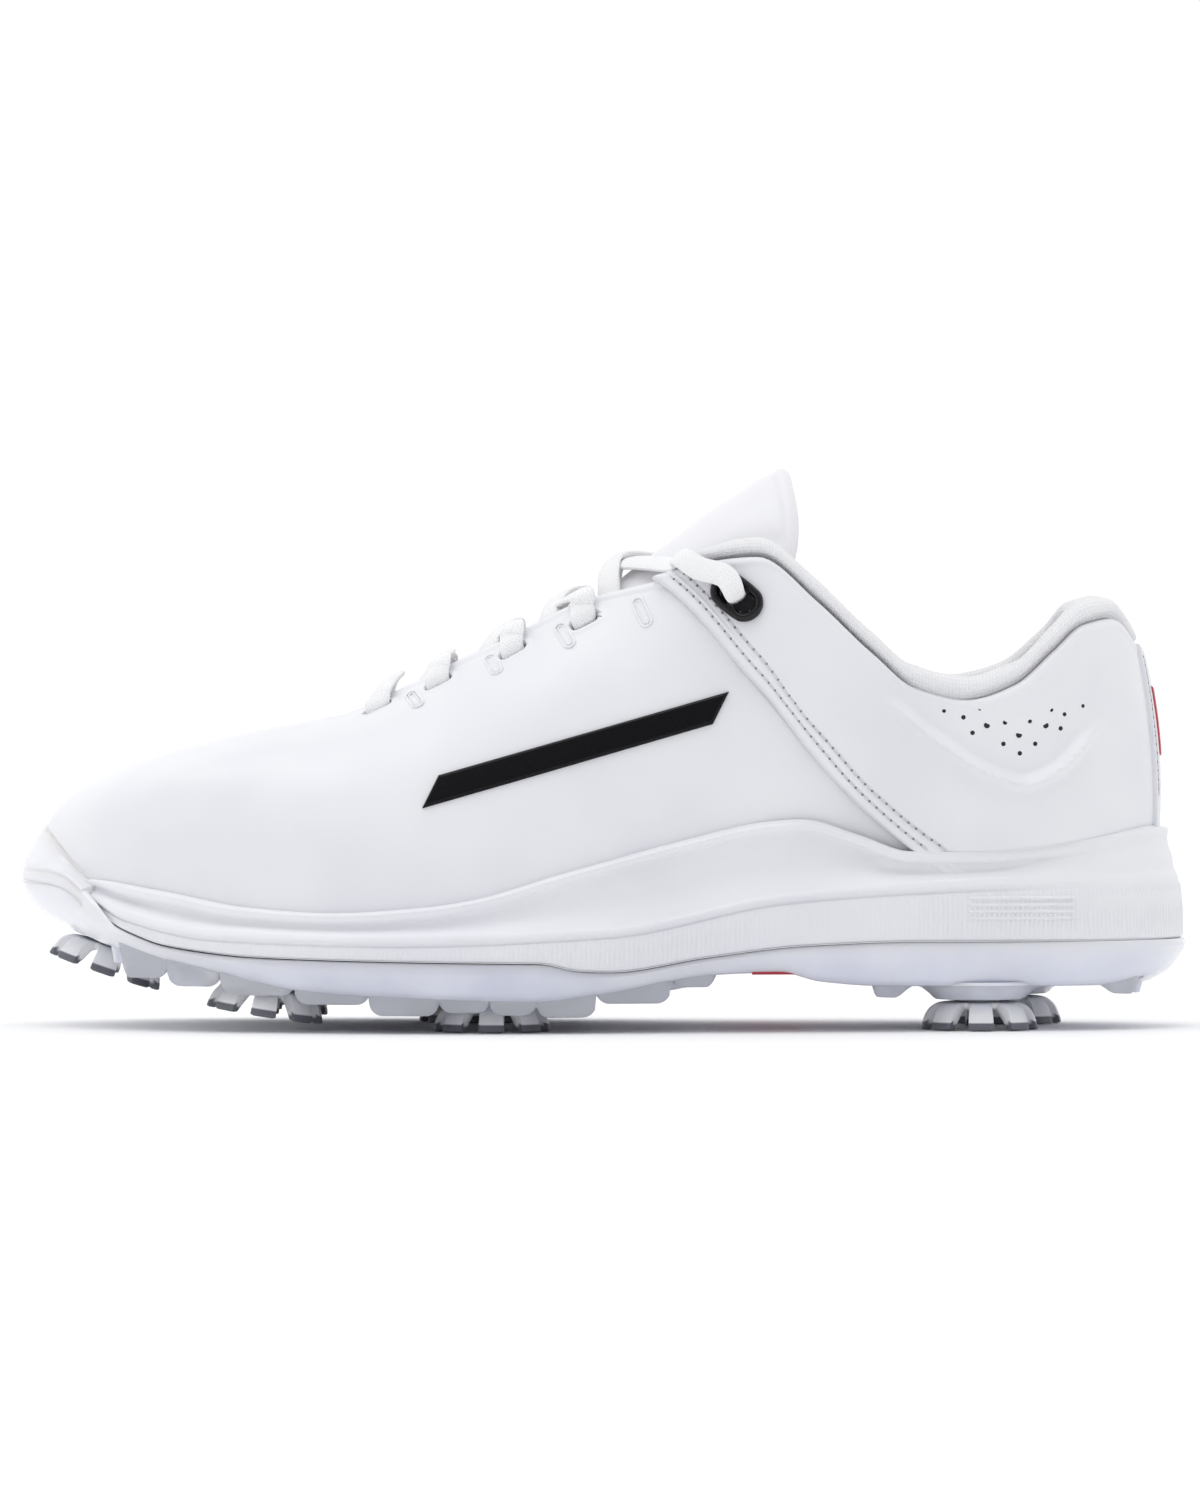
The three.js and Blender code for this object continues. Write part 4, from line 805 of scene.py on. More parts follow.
def around_slot(place, straight, profile, count=60):
    """Carries a profile of (distance from the slot's middle line, height) round a slot."""
    centre, long, across, normal = place
    angle = np.linspace(0, 2 * np.pi, count, endpoint=False)[:, None]
    shift = straight * np.clip(np.cos(angle) * 3, -1, 1)
    r, h = profile[None, :, 0], profile[None, :, 1]
    a, b = shift + r * np.cos(angle), r * np.sin(angle)
    return centre + a[..., None] * long + b[..., None] * across + h[..., None] * normal

turn = np.linspace(0, 2 * np.pi, 10, endpoint=False)
circle = np.stack([np.cos(turn), np.sin(turn)], -1)
for number, place in enumerate(loops):
    for word, radius, thickness in RIMS:
        rim = np.array([radius, 0.02]) + thickness * circle
        piece = surface(f"oval_{word}_{number}", around_slot(place, LOOP_STRAIGHT, rim), white_leather,
                        (True, True), sharp=70)
        fit(piece, "white_leather")

# %% [markdown]
# ## The quarter
#
# The quarter wraps the heel from seam to seam and lies over the forepart. Its front edge is turned
# over, so it is thicker there and throws a thin shadow. Two rows of stitches sink into it behind
# the fold. At the ankle a V-shaped ridge is pressed up from behind; its distance is measured to a
# curve drawn in side view.

# %% Quarter
ANKLE_RECESS = 1.0
RIDGE_HEIGHT = 2.0
ankle_fold = through((72.4, 84.1), (86.2, 73.7), (98.1, 66.4), (107, 63.5), (114, 65.9), (126, 77.3))
STITCH_ROWS = (2.9, 5.6)
EYELET_SHARE = 0.6146
EYELET_HEIGHT = LOBE_TOP - 10.6
EYELET_HOLE = (10.6, 6.2)
eyelets = {side: [float(value) for value in on_wall(side, EYELET_SHARE, EYELET_HEIGHT)] for side in (-1, 1)}
eyelet_frames = {side: wall_frame(*eyelets[side], EYELET_RUN) for side in (-1, 1)}

def seam_lean(v):
    """The sine of the angle between the seam and a level line across it."""
    along = upper_point(seam_sigma(v + 1e-3), v + 1e-3) - upper_point(seam_sigma(v - 1e-3), v - 1e-3)
    level = upper_point(seam_sigma(v) + 5e-3, v) - upper_point(seam_sigma(v) - 5e-3, v)
    return np.linalg.norm(np.cross(unit(along), unit(level)), axis=-1)

def fold_distance(base):
    """The height above the ridge's curve, divided by the length of its slope."""
    x = np.abs(base[..., 0])
    slope = ankle_fold(x + 0.5) - ankle_fold(x - 0.5)
    return (base[..., 2] - ankle_fold(x)) / np.sqrt(1 + slope**2)

def ankle_press(base):
    """The ridge along the V's curve, and how deep the leather lies inside the V."""
    above = fold_distance(base)
    reach = ramp(base[..., 0], 70, 80) * ramp(-base[..., 0], -129, -121)
    return reach * bell(above, 1.3), ANKLE_RECESS * reach * ramp(above, 0.8, 3.2) * ramp(-above, -17, -9)

def quarter_shape(base, sigma, v, edges):
    """Rounded at its edges, thick along the front fold, with the eyelet's hole, the stitches' furrows
    and the ankle's V."""
    front = np.minimum(edges[0], edges[1]) * seam_lean(v[0])[None]
    top = edges[3]
    height = LAYER_GAP + LEATHER * rounded(front, 1.1) * rounded(top, 1.2) * rounded(edges[2], 0.6)
    height += 0.45 * rounded(front, 1.1) * (1 - ramp(front, 3.7, 4.7))
    hole = nearest(base, eyelet_frames.values(), *EYELET_HOLE)
    height -= (LEATHER - 0.05) * ramp(-hole, -0.1, 0.5)
    for row in STITCH_ROWS:
        height -= 0.2 * bell(front - row, 0.45)
    ridge, recess = ankle_press(base)
    height += RIDGE_HEIGHT * ridge - recess
    height += 0.3 * bell(top - 2.2, 1.1)
    # The edge mark greys the rounded front and top edges, and paints shade on the ankle's ridge and in the
    # stitch furrows
    edge = 0.7 * bell(front, 0.9) + 0.6 * bell(top, 0.8) + 0.18 * ridge
    for row in STITCH_ROWS:
        edge = edge + 0.22 * bell(front - row, 0.45)
    # The hollow mark paints the sunk eyelet hole near black: painted shade
    return height, {"edge": np.clip(edge, 0, 1), "hollow": ramp(-hole, 0, 0.5)}

u = crowded(0, 1, 480, (0, 0.028, 6), (1, 0.028, 6), (0.3, 0.1, 0.6), (0.7, 0.1, 0.6))[:, None]
v = crowded(0, 1, 104, (0.97, 0.03, 3), (0.01, 0.01, 2))[None, :]
sigma = seam_sigma(v) + (2 - 2 * seam_sigma(v)) * u
points, marks = sheet_rings(sigma, np.broadcast_to(v, sigma.shape), LAYER_GAP, LAYER_GAP,
                            shape=quarter_shape)
quarter = surface("quarter", points, white_leather, (False, True), caps=True, marks=marks)
fit(quarter, "white_leather", "heel_quarter")

# %% [markdown]
# ## Back stay and heel tab
#
# A strip of leather covers the seam down the back of the heel, and a short red tab is sewn on it.
# Both are the same kind of sheet, rounded at every edge.

# %% Back stay and tab
STAY_FACE = LEATHER + LAYER_GAP + BACK_STAY

def patch_shape(low, high, radius, stitched=None):
    """A sheet from low to high, rounded at all four edges, with a stitched furrow along its sides."""
    def shape(base, sigma, v, edges):
        near = np.minimum(np.minimum(edges[0], edges[1]), np.minimum(edges[2], edges[3]))
        height = low + (high - low) * rounded(near, radius)
        if stitched:
            height -= 0.2 * bell(np.minimum(edges[0], edges[1]) - stitched, 0.45)
        return height, {"edge": 0.7 * bell(near, 0.8), "hollow": np.zeros_like(height)}
    return shape

def patch(name, finish, sigma_range, v_range, low, high, radius, columns, rows, stitched=None):
    sigma, v = np.meshgrid(crowded(*sigma_range, columns), crowded(*v_range, rows), indexing="ij")
    points, marks = sheet_rings(sigma, v, low, low, shape=patch_shape(low, high, radius, stitched))
    return surface(name, points, finish, (False, True), caps=True, marks=marks)

STAY_HALF = 0.055
TAB_HALF = 0.02
stay = patch("back_stay_leather", white_leather, (1 - STAY_HALF, 1 + STAY_HALF), (0.14, 0.985),
             LAYER_GAP + LEATHER - 0.1, STAY_FACE, 1.0, 40, 110, stitched=1.9)
fit(stay, "white_leather", "back_stay")
tab = patch("heel_tab_tape", red_trim, (1 - TAB_HALF, 1 + TAB_HALF), (0.5, 0.8),
            STAY_FACE - 0.1, STAY_FACE + TRIM / 2, 0.6, 20, 40)
fit(tab, "red_trim", "heel_tab")

# %% [markdown]
# ## Side marks
#
# A plain straight bar of gloss film is bonded to each side, a little domed. Its grid is laid out in
# side view and each point is then found on the wall.

# %% Side marks
MARK_START = (0.353, 61.5)
MARK_END = (0.6, 83.0)
MARK_WIDTH = 8.5

def side_mark(side, word):
    t = crowded(0, 1, 110, (0, 0.02, 4), (1, 0.02, 4))[:, None]
    lift = crowded(-0.5, 0.5, 26, (-0.5, 0.12, 2), (0.5, 0.12, 2))[None, :] * MARK_WIDTH
    share = MARK_START[0] + (MARK_END[0] - MARK_START[0]) * t + lift / LENGTH / 2
    z = MARK_START[1] + (MARK_END[1] - MARK_START[1]) * t + lift
    sigma, v = on_wall(side, share, z)
    points, marks = sheet_rings(sigma, v, -0.2, -0.2, 6, shape=patch_shape(-0.2, GAP + TRIM, 1.3))
    piece = surface("gloss_bar_" + word, points, gloss_black, (False, True), caps=True)
    return fit(piece, "gloss_black", "side_mark_" + word)

side_mark(-1, "lateral")
side_mark(1, "medial")

# %% [markdown]
# ## The padded collar
#
# The collar is a roll of foam in knit that runs round the ankle just above the leather and hangs
# down inside. It is one rounded section carried along the leather's top edge. It stands above the
# edge there, and below it follows the wall. Small swells along it make it stuffed, not cast.

# %% Collar
ROLL_SECTION = np.array([[-20, 0.2], [-10, 0], [-2, 0], [1.0, 0.7], [2.4, 2.5], [4.2, 2.3], [5.8, 0.6],
                         [6.3, -2.2], [5.4, -5], [3, -6.6], [-4, -7.2], [-13, -6.2], [-19, -4.4],
                         [-20.6, -1.6]])
ROLL_MIDDLE = np.array([-3.0, -3.0])
ROLL_ROWS = 56
roll_depth = through((0.53, 0.42), (0.6, 0.5), (0.66, 0.95), (0.75, 1))
roll_height = through((0.53, 0.55), (0.56, 0.8), (0.6, 1))
roll_sink = through((0.66, LEATHER + LAYER_GAP), (0.7, GAP))
ROLL_START = 0.53

def glide(stations, count, closed=False):
    """A smooth curve through stations along the first axis. Each cubic starts with half the step
    from the station before to the one after."""
    number = len(stations)
    at = np.linspace(0, number if closed else number - 1, count, endpoint=not closed)
    i = np.minimum(at.astype(int), number - 1 if closed else number - 2)
    t = (at - i).reshape((-1,) + (1,) * (stations.ndim - 1))
    def pick(k):
        return stations[k % number] if closed else stations[np.clip(k, 0, number - 1)]
    before, here, after, later = pick(i - 1), pick(i), pick(i + 1), pick(i + 2)
    leave, arrive = (after - before) / 2, (later - here) / 2
    return ((2 * t**3 - 3 * t**2 + 1) * here + (t**3 - 2 * t**2 + t) * leave
            + (3 * t**2 - 2 * t**3) * after + (t**3 - t**2) * arrive)

def roll_points(sigma, section):
    """Below the edge a point follows the wall; above it, it climbs on in the wall's last direction.
    The sink under the leather fades out over the roll's top."""
    s = np.abs(fold(sigma))
    edge = upper_point(sigma, 1.0)
    normal = upper_normal(sigma, np.ones_like(sigma))
    climb = unit(edge - upper_point(sigma, 0.98))
    length = np.linalg.norm(edge - upper_point(sigma, 0.0), axis=-1) * 1.06
    up, out = section[..., 0], section[..., 1]
    under = np.maximum(np.clip(1 - up / 1.6, 0, 1), np.clip((0.4 - out) / 3, 0, 1))
    away = out * np.where(out < 0, roll_depth(s), roll_height(s)) - roll_sink(s) * under
    hang = upper_at(sigma, 1 + np.minimum(up, 0) / length, away)
    stand = edge + climb * (up * roll_height(s))[..., None] + normal * away[..., None]
    blend = ramp(up, -1.5, 0.5)[..., None]
    return hang * (1 - blend) + stand * blend

section = glide(ROLL_SECTION, ROLL_ROWS, closed=True)
sigma = crowded(ROLL_START, 2 - ROLL_START, 260,
                (ROLL_START, 0.015, 3), (2 - ROLL_START, 0.015, 3))[:, None]
end = rounded(np.minimum(sigma - ROLL_START, 2 - ROLL_START - sigma) * 300 + 0.15, 4.5)
swell = 1 + 0.035 * np.sin(sigma * 61) + 0.025 * np.sin(sigma * 137 + 1)
shrink = np.repeat(end, ROLL_ROWS, 1)[..., None]
rings = ROLL_MIDDLE + (section[None] - ROLL_MIDDLE) * shrink
rings[..., 0] *= np.where(rings[..., 0] > 0, swell, 1)
points = roll_points(np.broadcast_to(sigma, rings.shape[:2]), rings)
collar = surface("collar_roll", points, collar_knit, (False, True), caps=True)
fit(collar, "collar_textile", "collar_lining")

# %% [markdown]
# ## Linings
#
# Inside, the leather is backed with an open mesh. Its sheets follow the same surface, further in.

# %% Linings
def lining(name, sigma_range, v_range, outer, node):
    sigma, v = np.meshgrid(np.linspace(*sigma_range, 120), np.linspace(*v_range, 40), indexing="ij")
    points, _ = sheet_rings(sigma, v, outer, outer - LINING, 12)
    return fit(surface(name, points, lining_mesh, (False, True), caps=True), "lining_textile", node)

LINING_OFFSET = -(LEATHER + LAYER_GAP) - STIFFENER - LAYER_GAP
lining("forepart_lining", (-0.58, 0.58), (0.09, 0.76), LINING_OFFSET, "vamp_lining")
lining("quarter_lining", (0.6, 1.4), (0.09, 0.72), -COUNTER - LAYER_GAP, "heel_lining")

# %% [markdown]
# ## The tongue
#
# The tongue is a padded strip under the laces. Its middle line climbs the instep, its face falls
# away to both sides, and its top wraps round the ankle, with rounded corners. The line is a smooth
# curve through stations, walked by its length, so that t is a share of the way along it.

# %% Tongue
TONGUE_LINE = ((0.235, THROAT_FRONT - 7.2), (0.29, THROAT_FRONT - 1.4), (0.38, THROAT_FRONT + 11.5),
               (0.47, EYESTAY_TOP - 9), (0.54, EYESTAY_TOP + 6), (0.6, TONGUE_TOP - 10.5),
               (0.655, TONGUE_TOP))
TONGUE_LENGTH = 165.0
tongue_half = through((0, 15), (0.25, 20), (0.5, 20.5), (0.75, 19), (0.88, 20.5), (1, 22))
tongue_bow = through((0, 0.02), (0.2, 0.03), (0.55, 0.028), (0.75, 0.026), (1, 0.052))
tongue_plumb = through((0.6, 0), (1, 0.5))
TONGUE_CORNER = 0.045

def walk(stations, fine=200):
    """A curve through stations, each cubic timed by the square root of its length, with a table of
    distances. It returns a function from a share of the way to a point and a direction."""
    ends = [2 * stations[0] - stations[1]], [2 * stations[-1] - stations[-2]]
    p = np.concatenate([ends[0], stations, ends[1]])
    gaps = np.sqrt(np.linalg.norm(np.diff(p, axis=0), axis=1))
    pieces = []
    for k in range(1, len(p) - 2):
        before, here, after, later = p[k - 1 : k + 3]
        d0, d1, d2 = gaps[k - 1 : k + 2]
        leave = ((here - before) / d0 - (after - before) / (d0 + d1) + (after - here) / d1) * d1
        arrive = ((after - here) / d1 - (later - here) / (d1 + d2) + (later - after) / d2) * d1
        t = np.linspace(0, 1, fine, endpoint=False)[:, None]
        pieces.append((2 * t**3 - 3 * t**2 + 1) * here + (t**3 - 2 * t**2 + t) * leave
                      + (3 * t**2 - 2 * t**3) * after + (t**3 - t**2) * arrive)
    line = np.concatenate(pieces + [p[-2:-1]])
    passed = np.concatenate([[0], np.linalg.norm(np.diff(line, axis=0), axis=1).cumsum()])
    passed /= passed[-1]
    def at(share):
        share = np.asarray(share, float)
        point = np.stack([np.interp(share, passed, line[:, k]) for k in range(3)], -1)
        low, high = np.clip(share - 2e-3, 0, 1), np.clip(share + 2e-3, 0, 1)
        ahead = np.stack([np.interp(high, passed, line[:, k]) - np.interp(low, passed, line[:, k])
                          for k in range(3)], -1)
        return point, unit(ahead)
    return at

tongue_line = walk(np.array([[x_at(share), float(centre_line(share)), z] for share, z in TONGUE_LINE]))

def tongue_point(t, across, depth):
    """The line's point, less the bow times the square of the way across, less a depth along the
    face's normal."""
    t, across, depth = np.broadcast_arrays(*(np.asarray(value, float) for value in (t, across, depth)))
    place = t * (1 - TONGUE_CORNER * (across / tongue_half(t)) ** 6)
    point, run = tongue_line(place)
    up = unit(triple(-run[..., 2], 0, run[..., 0]))
    fall = unit(up + (triple(0, 0, np.ones_like(t)) - up) * tongue_plumb(t)[..., None])
    out = unit(up + triple(0, 2 * tongue_bow(t) * across, 0))
    return (point - fall * (tongue_bow(t) * across**2)[..., None] - out * depth[..., None]
            + triple(0, across, 0))

t = crowded(0, 1, 150, (1, 0.03, 4), (0, 0.03, 2))[:, None]
way = crowded(-1, 1, 64, (-1, 0.14, 3), (1, 0.14, 3))[None, :]
half = tongue_half(t)
from_end = np.minimum((1 - t) * TONGUE_LENGTH, t * TONGUE_LENGTH)
near = np.minimum((1 - np.abs(way)) * half * 1.25, from_end + 0 * way)
full = TONGUE_THICKNESS * (1 - 0.6 * way**6)
round_off = rounded(near, 2.3)
puff = 0.35 * ramp(near, 3.5, 9) * (1 + 0.25 * np.sin(t * 40 + way * 3)) - 0.2 * bell(near - 4.4, 0.8)
face = tongue_point(t, way * half, full / 2 * (1 - round_off) - puff * ramp(t, 0.62, 0.72))
back = tongue_point(t, way * half, full / 2 * (1 + round_off))
# The edge mark darkens the groove round the padded top: painted shade
edge = 0.25 * bell(near - 4.4, 0.8) * ramp(t, 0.62, 0.72)
marks = {"edge": np.concatenate([edge, 0 * edge], 1), "hollow": 0.0}
tongue = surface("tongue_pad", np.concatenate([face, back[:, ::-1]], 1), tongue_leather, (False, True),
                 caps=True, marks=marks, weld=True)
fit(tongue, "tongue_leather", "tongue", body="tongue")

# %% [markdown]
# ## The lace
#
# The lace is one flat braid. It goes down through each slot, back under the leather, over the
# tongue and on to the next slot of the other side. Its ends run over the collar, in through the
# oblong eyelets and down inside. The route is held by the wall and the tongue, so it is written as
# places on those. A smooth curve runs through the route, and the braid's width keeps to the
# throat's direction wherever it can.

# %% Lace route
LACE_CROSSINGS = (0.3, 0.415, 0.53, 0.66)
LACE_TOP = (("edge", 1, 0.52, 3, -1.5), ("edge", 1, 0.529, 2.2, 3.6), ("wall", 1, 0.545, 0.965, 5),
            ("wall", 1, 0.565, 0.93, 5.6))
LACE_END = (("wall", 1, 0.597, 0.83, -9), ("wall", 1, 0.605, 0.74, -9.6), ("wall", 1, 0.618, 0.62, -9.6),
            ("wall", 1, 0.628, 0.52, -9))

def lace_at_slot(side, s):
    """The stops over the leather's edge, down through a slot and back up under the leather."""
    return (("wall", side, s, 0.995, 2.2), ("wall", side, s, 0.945, 1.9),
            ("wall", side, s, SLOT_V + 0.003, 0.5), ("wall", side, s, SLOT_V, -2.8),
            ("wall", side, s + 0.002, SLOT_V + 0.012, -5.7), ("wall", side, s + 0.012, 0.985, -5.4))

def lace_point(half, place):
    """A stop's point: (what holds it, side, two places on it, how far it stands off)."""
    held, side, a, b, c = place
    if held == "tongue":
        return tongue_point(a, b, -c)
    sigma = half * side * a
    if held == "wall":
        return upper_at(sigma, b, c)
    edge = upper_point(sigma, 1.0)
    climb = unit(edge - upper_point(sigma, 0.98))
    return edge + climb * b + upper_normal(sigma, 1.0) * c

def lace_half(half):
    """The stops of one half of the lace, from the front bar to its end inside the shoe."""
    stops = []
    for row, s in enumerate(SLOT_ROWS):
        lift = 3 if (row % 2 == 1) == (half < 0) else 5
        stops += [*lace_at_slot((-1) ** row, s), ("tongue", 1, LACE_CROSSINGS[row], 0, lift)]
    sigma, v = eyelets[half]
    stops += [*LACE_TOP, *(("wall", 1, abs(sigma), v, depth) for depth in (5.4, 1, -8)), *LACE_END]
    return np.array([lace_point(half, stop) for stop in stops])

bar = tongue_point(0.21, 0, -6.4)
route = np.concatenate([lace_half(-1)[::-1], bar[None], lace_half(1)])
print("the lace has", len(route), "stops")

# %% [markdown]
# ## The braid
#
# The braid is one oval section carried along the route. It is pinched where it passes the top
# eyelet, and its width wavers a little, as a worn lace's does.

# %% Braid
LACE_PINCH = 0.8
PER_STOP = 9
LACE_FULLNESS = 1.55 # woven thread bulges between its edges
number = len(route)
pinched = len(LACE_END) + 3

def braid_directions(route):
    """The direction of the braid's width at each stop: the throat's direction made square to the
    route, or the last one kept."""
    kept, out = EYELET_RUN, []
    for k in range(len(route)):
        run = unit(route[min(k + 1, len(route) - 1)] - route[max(k - 1, 0)])
        wish = THROAT_RUN - run * np.dot(THROAT_RUN, run)
        if np.linalg.norm(wish) > 0.45:
            kept = wish
        kept = unit(kept - run * np.dot(kept, run))
        out.append(kept)
    return np.array(out)

widths = np.where(np.minimum(np.arange(number), number - 1 - np.arange(number)) < pinched,
                  LACE_WIDTH * LACE_PINCH, LACE_WIDTH)
count = (number - 1) * PER_STOP + 1
line = glide(route, count)
run = unit(np.gradient(line, axis=0))
cross = glide(braid_directions(route), count)
cross = unit(cross - run * np.sum(cross * run, -1, keepdims=True))
up = np.cross(run, cross)
width = glide(widths[:, None].astype(float), count)
turn = np.linspace(0, 2 * np.pi, 22, endpoint=False)
flat = np.sign(np.cos(turn)) * np.abs(np.cos(turn)) ** 0.75
thick = np.sign(np.sin(turn)) * np.abs(np.sin(turn)) ** 0.75 * (1 - 0.3 * np.cos(turn) ** 2)
slack = 1 + 0.03 * np.sin(np.arange(count) * 0.37)[:, None]
points = (line[:, None] + cross[:, None] * (flat * width / 2 * slack)[..., None]
          + up[:, None] * (thick * LACE_THICKNESS / 2 * LACE_FULLNESS)[None, :, None])
lace = surface("lace_braid", points, lace_braid, (False, True), caps=True)
fit(lace, "lace_textile", "lace")
lace_length = np.linalg.norm(np.diff(line, axis=0), axis=1).sum()
print("the lace is", round(float(lace_length)), "mm long")

# %% [markdown]
# ## Oblong eyelets
#
# The top eyelet is a moulded grommet: a rounded flange that stands on the leather round a punched
# hole. It is one closed section carried round a stadium, a straight slot with half-round ends. A
# dark floor closes the hole behind the lace: painted shade where the hole is dark.

# %% Eyelets
EYELET_STRAIGHT = 2.5
GROMMET = np.array([[2.7, 0.3], [2.65, 1.8], [2.75, 3.2], [3.2, 4.05], [3.85, 4.3], [4.5, 4.0], [4.9, 3.4],
                    [5.0, 2.75], [4.75, 2.3], [4.0, 2.2], [3.3, 2.1], [3.15, 0.3]])
SHAFT = np.array([[0.1, 0.5], [3.0, 0.5], [3.0, 0.9], [0.1, 0.9]])

# Near black for the eyelet's floor and the breathing holes: painted shade where a hole is dark
punched = Finish("painted_hole_shade", (0.02, 0.02, 0.024), 0.7, Specular_IOR_Level=0.2)
grit = punched.noise(1500, 2)
punched.set({"Base Color": punched.tint(grit, (0.016, 0.016, 0.02), (0.045, 0.045, 0.052))})
punched.relief(grit, 0.00005)

for side, word in ((-1, "lateral"), (1, "medial")):
    flange = around_slot(eyelet_frames[side], EYELET_STRAIGHT, glide(GROMMET, 40, closed=True), 80)
    fit(surface("grommet_" + word, flange, gloss_ring, (True, True)), "gloss_black", "eyelet_" + word)
    hole = around_slot(eyelet_frames[side], EYELET_STRAIGHT, SHAFT, 80)
    fit(surface("grommet_painted_shade_" + word, hole, punched, (True, True)), "gloss_black")

# %% [markdown]
# ## Stitches and punched holes
#
# A shoe has hundreds of stitches, so each is a few dozen faces at most: one small capsule is turned
# into every stitch's own directions at once. The thread dips into a small hole at both its ends,
# shown as a grey disc of painted shade.
# Punched breathing holes are the same idea, with a small dark disc of painted shade in place of the
# capsule.

# %% One shape at many places
def capsule(length, radius):
    """A thread's bulge: rings whose radius follows a half circle at each end."""
    along = np.array([-1, -0.86, -0.45, 0.45, 0.86, 1]) * length / 2
    size = np.array([0.25, 0.72, 1, 1, 0.72, 0.25]) * radius
    angle = np.linspace(0, 2 * np.pi, 6, endpoint=False)
    across, up = size[:, None] * np.cos(angle), size[:, None] * np.sin(angle)
    return np.stack([along[:, None] + 0 * angle, across, up], -1)

def disc(radius, high=0.1):
    """A flat-topped button of three rings."""
    angle = np.linspace(0, 2 * np.pi, 12, endpoint=False)
    size, height = np.array([1, 1, 0.8]), np.array([-0.4, high * 0.4, high])
    return np.stack([radius * size[:, None] * np.cos(angle), radius * size[:, None] * np.sin(angle),
                     height[:, None] + 0 * angle], -1)

def scatter(name, shape, centres, frames, finish, scales=None):
    """Copies a small grid to every centre, along that place's three directions, as one mesh."""
    columns, rows = shape.shape[:2]
    local = shape.reshape(-1, 3)
    scales = np.ones(len(centres)) if scales is None else np.asarray(scales)
    points = centres[:, None] + np.einsum("pk,nkc->npc", local, frames) * scales[:, None, None]
    i, j = np.meshgrid(np.arange(columns - 1), np.arange(rows), indexing="ij")
    here, ahead, beside = i * rows, (i + 1) * rows, (j + 1) % rows
    quads = np.stack([here + j, ahead + j, ahead + beside, here + beside], -1).reshape(-1, 4)
    ends = [list(range(rows)), list(range((columns - 1) * rows, columns * rows))[::-1]]
    one = [*quads.tolist(), *ends]
    faces = [[k + n * len(local) for k in face] for n in range(len(centres)) for face in one]
    mesh = bpy.data.meshes.new(name)
    mesh.from_pydata((points.reshape(-1, 3) / 1000).tolist(), [], faces)
    mesh.uv_layers.new(name="laid")
    work = bmesh.new()
    work.from_mesh(mesh)
    bmesh.ops.recalc_face_normals(work, faces=work.faces)
    work.to_mesh(mesh)
    work.free()
    return finished(name, mesh, finish, 50)

def along_wall(sigma, v, offset, pitch):
    """Places a pitch apart along a line on the wall, each with the directions of the line, across it
    and outwards."""
    line = upper_at(sigma, v, offset)
    passed = np.concatenate([[0], np.linalg.norm(np.diff(line, axis=0), axis=1).cumsum()])
    at = np.arange(pitch / 2, passed[-1], pitch)
    s, w = np.interp(at, passed, sigma), np.interp(at, passed, v)
    centres = upper_at(s, w, offset)
    ahead = unit(np.stack([np.interp(at + 0.3, passed, line[:, k]) - np.interp(at - 0.3, passed, line[:, k])
                           for k in range(3)], -1))
    normal = upper_normal(s, w)
    return centres, np.stack([ahead, np.cross(normal, ahead), normal], 1)

print("a stitch is a grid of", capsule(1, 1).shape[:2], "points")

# %% [markdown]
# ## The seams' stitches
#
# Two rows run down each diagonal seam and one down each side of the back stay. A row keeps its
# distance from the seam's edge, measured square to it.

# %% The seams' stitches
STITCH_PITCH = 2.5
STITCH_LENGTH = 1.75

def sew(name, lines, pitch=STITCH_PITCH, length=STITCH_LENGTH, radius=0.3):
    """Stitches and their holes along several lines, each (sigma, v, offset)."""
    centres, frames = zip(*(along_wall(*line, pitch) for line in lines))
    centres, frames = np.concatenate(centres), np.concatenate(frames)
    fit(scatter(name, capsule(length, radius), centres, frames, thread), "white_leather")
    ends = centres + frames[:, 0] * pitch / 2
    # Each hole is a small grey disc: painted shade
    fit(scatter(name + "_holes", disc(0.34), ends, frames, needle_hole_shade), "white_leather")
    return len(centres)

v = np.linspace(0.03, 0.975, 200)
seam = upper_point(seam_sigma(v), v)
v = v[seam[:, 2] > lip_height(seam[:, 0] / LENGTH + 0.5) + 1]
level = upper_point(seam_sigma(v) + 5e-3, v) - upper_point(seam_sigma(v) - 5e-3, v)
sigma_mm = np.linalg.norm(level, axis=-1) / 1e-2
lines = [(side * (seam_sigma(v) + row / sigma_mm / seam_lean(v)), v, LAYER_GAP + LEATHER + lift)
         for side in (-1, 1) for row, lift in zip(STITCH_ROWS, (0.3, -0.05))]
print("the diagonal seams take", sew("seam_stitches", lines), "stitches")

v = np.linspace(0.33, 0.94, 120)
lines = [(1 + way * (STAY_HALF - 0.0108) + 0 * v, v, STAY_FACE - 0.02) for way in (-1, 1)]
print("the back stay takes", sew("stay_stitches", lines, 2.3, 1.6, 0.27), "stitches")

# %% [markdown]
# ## Breathing holes
#
# Inside the ankle's V there are sixteen round holes in a loose fan, the larger ones in the middle.
# They are written as places in side view and found on the wall of both sides.

# %% Breathing holes
BREATHERS = ((87.2, 82, 0.5), (92.2, 80.4, 0.6), (96.3, 82.5, 0.5), (94.5, 76.5, 0.6),
             (98.1, 78.4, 0.8), (102.6, 79.1, 0.6), (106.2, 76, 0.8), (102.3, 73.7, 0.6),
             (106.5, 71.3, 0.6), (110.4, 73.7, 0.6), (108.8, 79.4, 0.55), (113, 78.4, 0.8),
             (114.3, 82.3, 0.5), (116.9, 77.6, 0.6), (117.9, 81.2, 0.55), (122.6, 83.3, 0.5))
x, z, radius = np.array(BREATHERS).T

